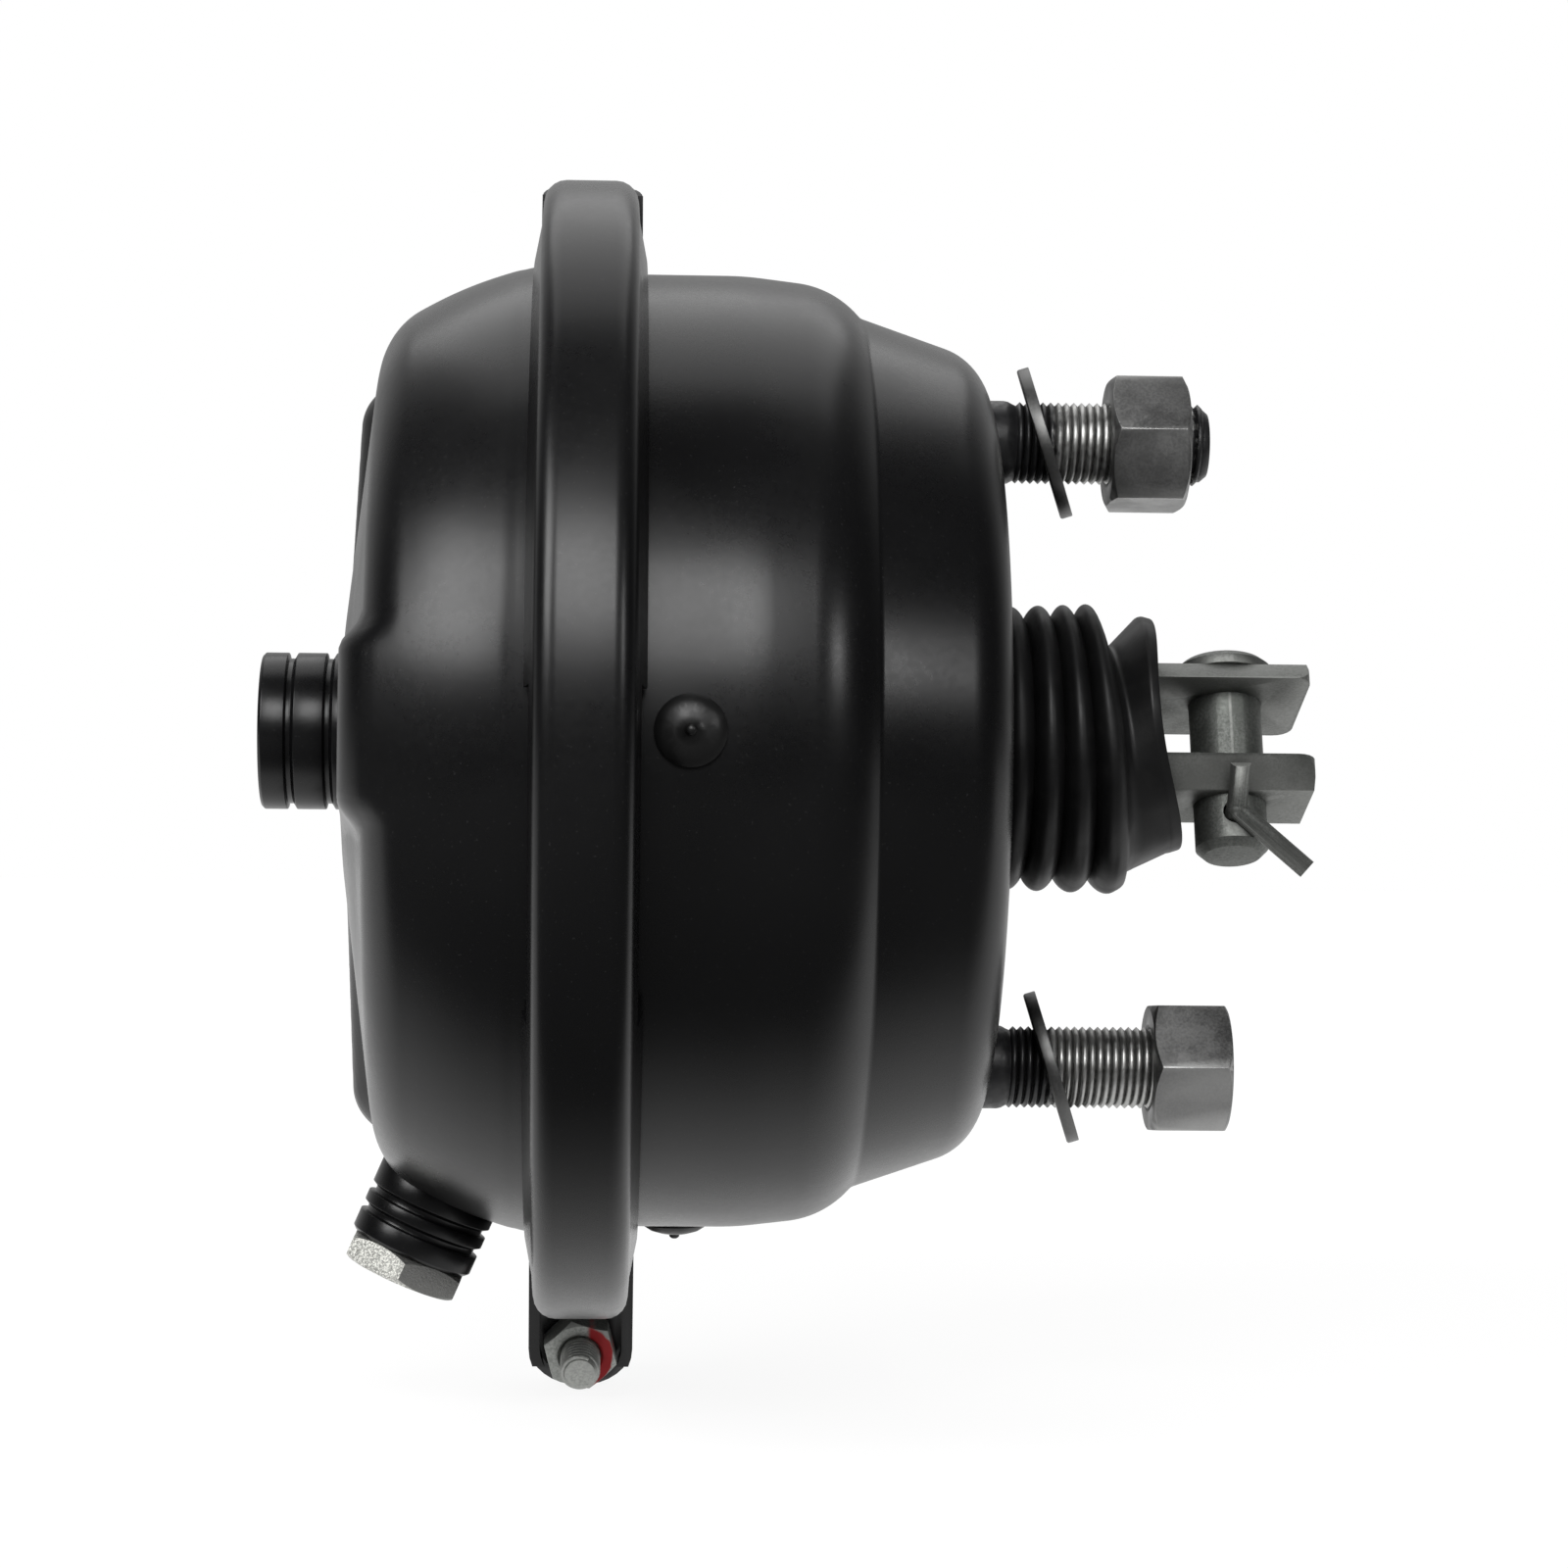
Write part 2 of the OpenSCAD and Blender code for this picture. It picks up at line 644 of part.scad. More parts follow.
spring_steps = 20;
spring_sides = 8;
spring_first_x = plate_x + plate_t + wire_d / 2 + fit;
spring_last_x = spring_seat_x - wire_d / 2 - fit;
spring_dead = 0.85; // turns at each end that lie flat on their seat
spring_rings = spring_turns * spring_steps;
function spring_x(t) =
    let (
        closed = wire_d * 1.04,
        free = (spring_last_x - spring_first_x - 2 * closed * spring_dead) / (spring_turns - 2 * spring_dead)
    )
    spring_first_x + min(t, spring_dead) * closed
    + max(0, min(t, spring_turns - spring_dead) - spring_dead) * free
    + max(0, t - spring_turns + spring_dead) * closed;
function spring_r(t) = spring_small_r + (spring_large_r - spring_small_r)
    * smooth((t - spring_dead / 2) / (spring_turns - spring_dead));
function spring_point(i, j) =
    let (
        t = i / spring_steps,
        a = 360 * t,
        s = 360 * j / spring_sides,
        r = spring_r(t) + wire_d / 2 * cos(s)
    )
    [spring_x(t) + wire_d / 2 * sin(s), r * cos(a), r * sin(a)];

module return_spring() {
    points = [for (i = [0 : spring_rings]) for (j = [0 : spring_sides - 1]) spring_point(i, j)];
    sides = [
        for (i = [0 : spring_rings - 1]) for (j = [0 : spring_sides - 1])
            let (a = i * spring_sides, k = (j + 1) % spring_sides)
            [a + j, a + spring_sides + j, a + spring_sides + k, a + k]
    ];
    first = [for (j = [0 : spring_sides - 1]) j];
    last = [for (j = [spring_sides - 1 : -1 : 0]) spring_rings * spring_sides + j];
    color(zinc) polyhedron(points = points, faces = concat([first], sides, [last]), convexity = 12);
}

// The boot: a sleeve of folds that leans over and opens into a skirt
boot_steps = 36;
fold_count = 4;
fold_x = 2.4;
neck_x = fold_x + fold_count * fold_pitch + 1.6;
function fold_r(u) = boot_r - fold_depth + fold_depth * pow(max(0, sin(180 * u)), 0.6);
boot_outside = concat(
    [
        [-sheet - 2.4, boot_hole_r - 0.3],
        [-sheet - 2.4, boot_hole_r + 2.8],
        [-sheet - air, boot_hole_r + 3.3],
        [-sheet - air, boot_hole_r - 0.3],
        [-boot_seat_h + air, boot_hole_r - 0.3],
        [-boot_seat_h + air, boot_r - 1],
        [1.6, boot_r - 0.4]
    ],
    [
        for (i = [0 : fold_count - 1]) for (j = [0 : 5])
            [fold_x + fold_pitch * (i + j / 6), fold_r(j / 6) + 0.2 * i]
    ],
    [
        [neck_x - 1.4, boot_neck_r + 1],
        [neck_x, boot_neck_r],
        [neck_x + 3, boot_neck_r + 0.9],
        [skirt_x - 3, skirt_r + 0.8],
        [skirt_x - 1, skirt_r + 0.4],
        [skirt_x, skirt_r - 0.6]
    ]
);
boot_inside = concat(
    [
        [skirt_x - 0.6, skirt_r - boot_wall],
        [skirt_x - 3, skirt_r + 0.4 - boot_wall],
        [neck_x + 3, boot_neck_r + 0.6 - boot_wall],
        [neck_x, boot_neck_r - boot_wall]
    ],
    [
        for (i = [fold_count - 1 : -1 : 0]) for (u = [1, 0.75, 0.5, 0.25])
            [fold_x + fold_pitch * (i + u), fold_r(u) - boot_wall]
    ],
    [
        [fold_x - 0.6, boot_hole_r - 0.3 - boot_wall],
        [-sheet - 2.4, boot_hole_r - 0.3 - boot_wall]
    ]
);
boot_section = concat(boot_outside, boot_inside);
function boot_lean(x) = skirt_lean * smooth((x - fold_x - fold_pitch) / (skirt_x - fold_x - fold_pitch));
function boot_lift(x) = fold_lift * smooth(x / fold_pitch)
    + (skirt_lift - fold_lift) * smooth((x - neck_x + 4) / (skirt_x - neck_x + 3));
function boot_point(p, a) = [
    p.x - p.y * sin(a) * tan(boot_lean(p.x)),
    p.y * cos(a),
    boot_lift(p.x) + p.y * sin(a)
];

module boot() {
    n = len(boot_section);
    points = [
        for (i = [0 : boot_steps - 1]) for (p = boot_section) boot_point(p, 360 * i / boot_steps)
    ];
    faces = [
        for (i = [0 : boot_steps - 1]) for (j = [0 : n - 1])
            let (k = (i + 1) % boot_steps, m = (j + 1) % n)
            [i * n + j, i * n + m, k * n + m, k * n + j]
    ];
    color(rubber) polyhedron(points = points, faces = faces, convexity = 8);
}

// The clevis with its pin. These are drawn with the pin along Z, then rolled into place.
ear_face = clevis_gap / 2 + ear_t;
module clevis_lock_nut() {
    color(dark_steel) translate([hub_x - fit - lock_nut_h, 0, rod_lift]) rotate([9, 0, 0])
        hexagon(nut_af, lock_nut_h, thread_d / 2 + screw_fit);
}

module clevis() {
    slot_x = -slot_depth;
    hub_len = pin_x - slot_depth - hub_x;
    section = [
        [ear_out_w / 2, -ear_face], [ear_in_w / 2, -clevis_gap / 2],
        [ear_in_w / 2, clevis_gap / 2], [ear_out_w / 2, ear_face],
        [-ear_out_w / 2, ear_face], [-ear_in_w / 2, clevis_gap / 2],
        [-ear_in_w / 2, -clevis_gap / 2], [-ear_out_w / 2, -ear_face]
    ];
    plan = rounded(
        [
            [slot_x - 4, 0], [slot_x - 4, -ear_in_w / 2], [ear_end, -ear_in_w / 2],
            [ear_end, ear_in_w / 2], [slot_x - 4, ear_in_w / 2], [slot_x - 4, 0]
        ],
        [0, 5, 3.5, 3.5, 5, 0]
    );
    color(zinc) in_clevis() difference() {
        union() {
            intersection() {
                translate([slot_x - 5, 0, 0]) rotate([90, 0, 90])
                    linear_extrude(slot_depth + ear_end + 6) polygon(section);
                translate([0, 0, -20]) linear_extrude(40) polygon(plan);
            }
            translate([slot_x - hub_len, 0, 0]) revolved([
                [0, 0], [0, hub_r - 1], [1, hub_r], [hub_len - 1, hub_r], [hub_len - 1, 0]
            ]);
        }
        translate([slot_x, -20, -clevis_gap / 2]) cube([slot_depth + ear_end + 1, 40, clevis_gap]);
        translate([slot_x - hub_len - 1, 0, 0]) along_x() cylinder(d = thread_d + 2 * screw_fit, h = hub_len + 2);
        translate([0, 0, -20]) cylinder(d = pin_d + 0.1, h = 40);
    }
}

module clevis_pin() {
    r = pin_d / 2;
    head_r = pin_head_d / 2;
    seat = ear_face + 0.05;
    tail = -ear_face - pin_tail;
    color(zinc) in_clevis() difference() {
        rotate_extrude() polygon([
            [0, tail], [r - 1.5, tail], [r, tail + 1.5], [r, seat], [head_r, seat],
            [head_r, seat + pin_head_h * 0.45], [head_r * 0.86, seat + pin_head_h * 0.75],
            [head_r * 0.55, seat + pin_head_h * 0.95], [0, seat + pin_head_h]
        ]);
        translate([0, 0, -ear_face - split_drop]) rotate([90, 0, 0])
            cylinder(d = split_hole_d, h = 40, center = true);
    }
}

// A split pin of half-round wire, with its eye at the back and its legs bent apart at the front
module half_wire(length) linear_extrude(length) intersection() {
    circle(d = split_d);
    translate([0, -split_d / 2]) square([split_d, split_d]);
}

module split_pin() {
    front = -pin_d / 2 - 1.2;
    eye_r = split_d * 0.72;
    up_lean = 50;
    down_turn = 132;
    color(zinc) in_clevis() translate([0, 0, -ear_face - split_drop]) union() {
        rotate([-90, 0, 0]) translate([0, 0, front]) cylinder(d = split_d, h = pin_d / 2 + 1 - front);
        translate([0, pin_d / 2 + eye_r + 1.2, 0]) rotate_extrude()
            translate([eye_r, 0]) circle(d = split_d * 0.5);
        translate([0, front, 0]) sphere(d = split_d);
        translate([0, front, 0]) rotate([up_lean, 0, 0]) translate([0, 0.4, 0]) rotate([0, 0, -90])
            half_wire(short_leg);
        translate([0, front, 0]) rotate([8, 0, 0]) rotate([0, down_turn, 0]) translate([0, 0.4, 0])
            rotate([0, 0, -90]) half_wire(long_leg);
    }
}

// The two ports. A boss is drawn from x = 0 at its outer end.
module boss(d, length, bore_r, lands) {
    r = d / 2;
    low = r - port_groove;
    difference() {
        revolved(concat(
            [[0, 0], [0, r - 0.6], [0.6, r]],
            [
                for (x = lands) each [
                    [x, r], [x + 0.25, low], [x + 1.2, low], [x + 1.2 + port_groove * 0.6, r]
                ]
            ],
            [[length, r], [length, 0]]
        ));
        revolved([
            [-1, 0], [-1, bore_r + 2.2], [1.2, bore_r], [length + 1, bore_r], [length + 1, 0]
        ]);
    }
}

module axial_port_boss() {
    color(paint) translate([dome_x - port_len, 0, port_z])
        boss(port_d, port_len - eps, port_bore_r, [port_len * 0.3, port_len * 0.75]);
}

module side_port_boss() {
    root = 9;
    color(paint) difference() {
        on_side_port() translate([0, 0, side_port_len]) rotate([0, 180, 0]) rotate([0, -90, 0])
            boss(side_port_d, side_port_len + root, side_bore_r, [side_port_len * 0.32, side_port_len * 0.62]);
        dome_outside(fit);
    }
}

module side_port_plug() {
    color(zinc) on_side_port() translate([0, 0, side_port_len]) rotate([0, 0, 30]) union() {
        rotate([0, -90, 0]) hexagon(plug_af, plug_h, 0);
        translate([0, 0, -9]) cylinder(r = side_bore_r - fit, h = 9 + eps);
    }
}

// Vent plugs: domed caps with a nib, pushed into the barrel
vent_angles = [1.8, -93, 183];
module on_vent(a) at_angle(a) translate([-vent_back, 0, barrel_r]) children();

module vent_plug(a) {
    r = vent_d / 2;
    stem = vent_hole_r - fit;
    color(paint) on_vent(a) rotate_extrude() polygon([
        [0, -sheet - 2], [stem - 1, -sheet - 2], [stem, -sheet - 0.5], [stem, 0.02],
        [r, 0.02], [r, 0.6], [r * 0.93, vent_h * 0.42], [r * 0.75, vent_h * 0.7],
        [r * 0.45, vent_h * 0.92], [1.1, vent_h], [0.9, vent_h + 0.6], [0.5, vent_h + 0.9],
        [0, vent_h + 0.9]
    ]);
}

pressure_housing();
non_pressure_housing();
diaphragm();
clamp_front();
clamp_rear();
clamp_bolt(lower_joint_a, lug_bolt_r, 0);  // clamp_bolt_lower
clamp_nut(lower_joint_a, lug_bolt_r, 14);  // clamp_nut_lower
clamp_bolt(upper_joint_a, upper_bolt_r, 30);  // clamp_bolt_upper
clamp_nut(upper_joint_a, upper_bolt_r, 30);  // clamp_nut_upper
stud_plate();
stud(1);  // stud_upper
stud(-1);  // stud_lower
washer(1, upper_washer_x);  // washer_upper
washer(-1, lower_washer_x);  // washer_lower
stud_nut(1, upper_nut_x, 22);  // stud_nut_upper
stud_nut(-1, lower_nut_x, 26);  // stud_nut_lower
push_plate();
pushrod();
return_spring();
boot();
clevis_lock_nut();
clevis();
clevis_pin();
split_pin();
axial_port_boss();
side_port_boss();
side_port_plug();
vent_plug(vent_angles[0]);  // vent_plug_front
vent_plug(vent_angles[1]);  // vent_plug_lower
vent_plug(vent_angles[2]);  // vent_plug_rear
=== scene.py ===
"""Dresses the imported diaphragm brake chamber: finer shells, boot, threads and spring, procedural finishes,
a plain pale studio, and the camera of the photograph. The frame is the part's own. Shapes are drawn in mm
and become metres as their mesh is made; the studio and the camera are in metres."""

import json
import math

import bmesh
import bpy
import numpy as np
from mathutils import Matrix, Vector

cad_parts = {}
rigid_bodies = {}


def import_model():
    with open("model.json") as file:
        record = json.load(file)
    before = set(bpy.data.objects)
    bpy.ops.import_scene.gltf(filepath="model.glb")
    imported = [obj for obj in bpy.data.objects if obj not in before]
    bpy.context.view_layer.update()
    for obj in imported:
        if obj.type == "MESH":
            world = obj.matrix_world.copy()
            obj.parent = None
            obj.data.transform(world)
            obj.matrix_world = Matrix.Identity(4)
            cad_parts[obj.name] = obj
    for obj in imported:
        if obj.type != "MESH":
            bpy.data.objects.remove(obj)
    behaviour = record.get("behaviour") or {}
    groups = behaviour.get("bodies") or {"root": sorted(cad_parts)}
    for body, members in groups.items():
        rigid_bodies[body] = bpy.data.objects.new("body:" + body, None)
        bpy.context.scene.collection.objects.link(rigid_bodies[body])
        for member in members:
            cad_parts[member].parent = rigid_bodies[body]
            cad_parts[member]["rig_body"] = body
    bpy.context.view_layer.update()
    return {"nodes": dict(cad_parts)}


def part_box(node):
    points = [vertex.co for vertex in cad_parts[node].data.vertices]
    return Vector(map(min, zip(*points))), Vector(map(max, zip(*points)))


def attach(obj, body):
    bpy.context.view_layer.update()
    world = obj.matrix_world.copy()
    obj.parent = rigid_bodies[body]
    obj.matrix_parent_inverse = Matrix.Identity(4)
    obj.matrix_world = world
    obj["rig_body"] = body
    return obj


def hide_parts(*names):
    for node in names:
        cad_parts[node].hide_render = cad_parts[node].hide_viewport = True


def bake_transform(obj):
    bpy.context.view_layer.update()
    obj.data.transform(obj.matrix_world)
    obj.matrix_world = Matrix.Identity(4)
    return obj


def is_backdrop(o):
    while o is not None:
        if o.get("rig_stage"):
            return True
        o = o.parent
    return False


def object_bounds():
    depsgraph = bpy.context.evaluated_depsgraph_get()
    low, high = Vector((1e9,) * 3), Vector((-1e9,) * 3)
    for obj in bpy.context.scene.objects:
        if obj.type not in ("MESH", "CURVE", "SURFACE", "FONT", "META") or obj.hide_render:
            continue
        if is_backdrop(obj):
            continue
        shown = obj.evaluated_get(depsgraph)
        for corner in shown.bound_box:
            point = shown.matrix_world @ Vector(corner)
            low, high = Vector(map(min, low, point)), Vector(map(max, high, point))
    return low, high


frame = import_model()
MM = 0.001

# Sizes of the finer pieces. They repeat the part's source, apart from the boot's folds and skirt, the wall's
# bulge and the lobes' drops, which follow the photograph more closely.
SHEET, BEAD = 3.0, 5.0
BARREL_R, FLANGE_R, CLAMP_X = 91.0, 102.5, -75.6
CREASE_X, CREASE_R, SHOULDER_RUN, SHOULDER_ANGLE = -24.5, 83.4, 5.3, 46.9
STEP_R, FACE_EDGE_R = 75.1, 12.0
DOME_X, DOME_END_R = -121.2, 76.6
WALL_SLOPE = math.tan(math.radians(24.5))
VALLEY_DEPTH, LAND_R = 6.8, 26.0
LOBE_W, LOBE_DRAFT, LOBE_TURN = 29.0, 1.1, 3
WALL_BULGE, FRONT_LOBE_DROP, BACK_LOBE_DROP = 1.2, 2.7, 0.5
PORT_Z, PORT_BORE_R = 3.1, 10.19
STUD_Z = 60.325
SHANK_R, SHANK_LEN, THREAD_R, STUD_OUT = 8.05, 5.0, 7.875, 43.6
BOOT_R, FOLD_DEPTH, FOLD_PITCH, FOLDS, FOLD_X, FOLD_LIFT = 27.4, 3.6, 5.7, 4, 2.8, 1.3
BOOT_NECK_R, BOOT_WALL, BOOT_HOLE_R, BOOT_SEAT_R, BOOT_SEAT_H = 22.0, 1.8, 22.3, 29.5, 0.8
SKIRT_R, SKIRT_X, SKIRT_LIFT, SKIRT_LEAN, SKIRT_SADDLE = 22.4, 33.4, 4.2, 8.0, 2.5
LOWER_BOLT_R, UPPER_BOLT_R, LUG_GAP, LUG_T = 121.0, 115.8, 7.0, 4.0
LOWER_JOINT, UPPER_JOINT = -107.0, 119.0
CLAMP_NUT_H, BOLT_STUB, BOLT_HEAD_H, BOLT_FLATS, BOLT_R = 6.5, 8, 5.3, 13, 3.95
STUD_PITCH, BOLT_PITCH = 1.5, 1.25
WIRE, DIAPHRAGM_T, DIAPHRAGM_GAP, PUSH_PLATE_T, STUD_PLATE_T, CLEAR = 4.6, 3, 6.4, 4, 5, 0.1


# Outlines as lists of (x, radius) in mm

def arc(centre, radius, start, sweep, steps):
    angles = start + sweep * np.arange(steps + 1) / steps
    return [centre + radius * np.array([math.cos(a), math.sin(a)]) for a in angles]


def rounded(points, radii, steps=10):
    """The points as a line, with each inner corner rounded to its radius."""
    points = [np.array(p, float) for p in points]
    line = []
    for i, (point, radius) in enumerate(zip(points, radii)):
        if radius == 0:
            line.append(point)
            continue
        u = (points[i - 1] - point) / np.linalg.norm(points[i - 1] - point)
        v = (points[i + 1] - point) / np.linalg.norm(points[i + 1] - point)
        half = math.acos(float(u @ v)) / 2
        middle = point + (u + v) / np.linalg.norm(u + v) * radius / math.sin(half)
        first = point + u * radius / math.tan(half) - middle
        last = point + v * radius / math.tan(half) - middle
        start = math.atan2(first[1], first[0])
        sweep = (math.atan2(last[1], last[0]) - start + math.pi) % (2 * math.pi) - math.pi
        line += arc(middle, radius, start, sweep, steps)
    return line


def resampled(line, count):
    """count points spread evenly along a line."""
    line = np.array(line, float)
    along = np.concatenate([[0], np.cumsum(np.linalg.norm(np.diff(line, axis=0), axis=1))])
    places = np.linspace(0, along[-1], count)
    return np.stack([np.interp(places, along, line[:, k]) for k in (0, 1)], 1)


def smooth(t):
    t = np.clip(t, 0, 1)
    return t * t * (3 - 2 * t)


# Meshes

def link(name, mesh):
    piece = bpy.data.objects.new(name, mesh)
    bpy.context.scene.collection.objects.link(piece)
    return piece


def grid_mesh(name, points, wrap_rows=False):
    """A mesh over rows of points in mm. Each row is a closed ring."""
    rows, columns = points.shape[:2]
    faces = []
    for i in range(rows if wrap_rows else rows - 1):
        for j in range(columns):
            k, m = (i + 1) % rows, (j + 1) % columns
            faces.append((i * columns + j, i * columns + m, k * columns + m, k * columns + j))
    mesh = bpy.data.meshes.new(name)
    mesh.from_pydata((points.reshape(-1, 3) * MM).tolist(), [], faces)
    return mesh


def tidied(mesh):
    """The mesh with its poles and seams closed and its faces pointing outwards."""
    bm = bmesh.new()
    bm.from_mesh(mesh)
    bmesh.ops.remove_doubles(bm, verts=bm.verts, dist=1e-6)
    bmesh.ops.dissolve_degenerate(bm, edges=bm.edges, dist=1e-7)
    bmesh.ops.recalc_face_normals(bm, faces=bm.faces)
    bm.to_mesh(mesh)
    bm.free()
    mesh.shade_smooth()
    return mesh


def round_x(line, steps):
    """Points of a line of (x, radius) turned about the x axis."""
    line = np.array(line, float)
    angles = np.linspace(0, 2 * math.pi, steps, endpoint=False)
    x = np.repeat(line[:, 0][:, None], steps, 1)
    return np.stack([x, -line[:, 1][:, None] * np.cos(angles), line[:, 1][:, None] * np.sin(angles)], 2)


def lathe(name, line, steps, closed=False, place=None):
    """A turned mesh, moved to its place."""
    mesh = tidied(grid_mesh(name, round_x(line, steps), wrap_rows=closed))
    if place is not None:
        mesh.transform(place)
    return mesh


def settled(piece):
    """The piece with its modifiers made real, so that its mesh is final."""
    bpy.context.view_layer.update()
    mesh = bpy.data.meshes.new_from_object(piece.evaluated_get(bpy.context.evaluated_depsgraph_get()))
    mesh.name = piece.name
    piece.modifiers.clear()
    piece.data = mesh
    return piece


def creased(mesh, degrees):
    """Smooth shading that keeps the edges sharper than an angle."""
    mesh.shade_smooth()
    mesh.set_sharp_from_angle(angle=math.radians(degrees))
    return mesh


def joined(name, meshes):
    bm = bmesh.new()
    for mesh in meshes:
        bm.from_mesh(mesh)
    whole = bpy.data.meshes.new(name)
    bm.to_mesh(whole)
    bm.free()
    return whole


def walled(piece, thickness):
    modifier = piece.modifiers.new("wall", "SOLIDIFY")
    modifier.thickness = thickness * MM
    modifier.offset = -1
    modifier.use_even_offset = True
    return piece


def dressed(node, finish, bevel=0.3, angle=32, turned=None):
    """A finer copy of a CAD node, with its edges broken, that stands for it."""
    mesh = frame["nodes"][node].data.copy()
    mesh.name = node + "_dressed"
    mesh.materials.clear()
    bm = bmesh.new()
    bm.from_mesh(mesh)
    bmesh.ops.remove_doubles(bm, verts=bm.verts, dist=2e-6)
    bmesh.ops.dissolve_limit(bm, angle_limit=math.radians(0.8), verts=bm.verts, edges=bm.edges)
    bm.to_mesh(mesh)
    bm.free()
    if turned is not None:
        low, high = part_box(node)
        centre = (Vector(low) + Vector(high)) / 2
        mesh.transform(Matrix.Translation(centre) @ turned @ Matrix.Translation(-centre))
    piece = link(node + "_dressed", mesh)
    creased(mesh, angle)
    if bevel:
        modifier = piece.modifiers.new("edges", "BEVEL")
        modifier.width = bevel * MM
        modifier.segments = 2
        modifier.limit_method = "ANGLE"
        modifier.angle_limit = math.radians(angle)
        modifier.use_clamp_overlap = True
        modifier.harden_normals = False
        settled(piece)
        creased(piece.data, 55)
    return placed(piece, finish, node)


def placed(piece, finish, node):
    """Gives a piece its finish, hides the CAD node it stands for, and sets it on that node's body."""
    piece.data.materials.clear()
    piece.data.materials.append(finish)
    for polygon in piece.data.polygons:
        polygon.material_index = 0
    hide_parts(node)
    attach(piece, frame["nodes"][node]["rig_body"])
    return piece


# Geometry Nodes for what follows a helix

def helix_tree():
    """A ridge or wire along a helix about the z axis, with its sizes as inputs."""
    tree = bpy.data.node_groups.new("helix", "GeometryNodeTree")
    face = tree.interface
    face.new_socket("Geometry", in_out="INPUT", socket_type="NodeSocketGeometry")
    sizes = {}
    for label, kind, value in (
        ("Turns", "NodeSocketFloat", 10.0), ("First radius", "NodeSocketFloat", 0.01),
        ("Last radius", "NodeSocketFloat", 0.01), ("Length", "NodeSocketFloat", 0.02),
        ("Section radius", "NodeSocketFloat", 0.001), ("Section sides", "NodeSocketInt", 4),
        ("Steps a turn", "NodeSocketInt", 48), ("Finish", "NodeSocketMaterial", None),
    ):
        socket = face.new_socket(label, in_out="INPUT", socket_type=kind)
        if value is not None:
            socket.default_value = value
        sizes[label] = socket.identifier
    face.new_socket("Geometry", in_out="OUTPUT", socket_type="NodeSocketGeometry")
    nodes, links = tree.nodes, tree.links
    start, end = nodes.new("NodeGroupInput"), nodes.new("NodeGroupOutput")
    spiral = nodes.new("GeometryNodeCurveSpiral")
    for label, socket in (
        ("Turns", "Rotations"), ("First radius", "Start Radius"), ("Last radius", "End Radius"),
        ("Length", "Height"), ("Steps a turn", "Resolution"),
    ):
        links.new(start.outputs[label], spiral.inputs[socket])
    upright = nodes.new("GeometryNodeSetCurveNormal")
    upright.mode = "Z_UP"
    links.new(spiral.outputs["Curve"], upright.inputs["Curve"])
    section = nodes.new("GeometryNodeCurvePrimitiveCircle")
    links.new(start.outputs["Section sides"], section.inputs["Resolution"])
    links.new(start.outputs["Section radius"], section.inputs["Radius"])
    sweep = nodes.new("GeometryNodeCurveToMesh")
    sweep.inputs["Fill Caps"].default_value = True
    links.new(upright.outputs["Curve"], sweep.inputs["Curve"])
    links.new(section.outputs["Curve"], sweep.inputs["Profile Curve"])
    real = nodes.new("GeometryNodeRealizeInstances")
    links.new(sweep.outputs["Mesh"], real.inputs["Geometry"])
    finish = nodes.new("GeometryNodeSetMaterial")
    links.new(real.outputs["Geometry"], finish.inputs["Geometry"])
    links.new(start.outputs["Finish"], finish.inputs["Material"])
    links.new(finish.outputs["Geometry"], end.inputs["Geometry"])
    return tree, sizes


HELIX, HELIX_SIZES = helix_tree()
ALONG_X = Matrix.Rotation(math.radians(90), 4, "Y")


def helix(name, place, finish, **sizes):
    """The mesh of a helix along x, with its lengths in mm, moved to its place."""
    piece = link(name, bpy.data.meshes.new(name))
    modifier = piece.modifiers.new("helix", "NODES")
    modifier.node_group = HELIX
    for label, value in sizes.items():
        label = label.replace("_", " ")
        whole = label in ("Section sides", "Steps a turn", "Turns")
        modifier[HELIX_SIZES[label]] = value if whole else value * MM
    modifier[HELIX_SIZES["Finish"]] = finish
    settled(piece)
    mesh = piece.data
    bpy.data.objects.remove(piece)
    mesh.transform(place @ ALONG_X)
    return mesh


def at(x, y, z):
    return Matrix.Translation(Vector((x, y, z)) * MM)


def thread(name, first, last, major_r, pitch, place, finish):
    """The ridge of a screw thread, from first to last along x."""
    deep = pitch / 2
    return helix(
        name, place @ at(first, 0, 0), finish, Turns=(last - first) / pitch, First_radius=major_r - deep,
        Last_radius=major_r - deep, Length=last - first, Section_radius=deep, Section_sides=4, Steps_a_turn=40,
    )


# Finishes

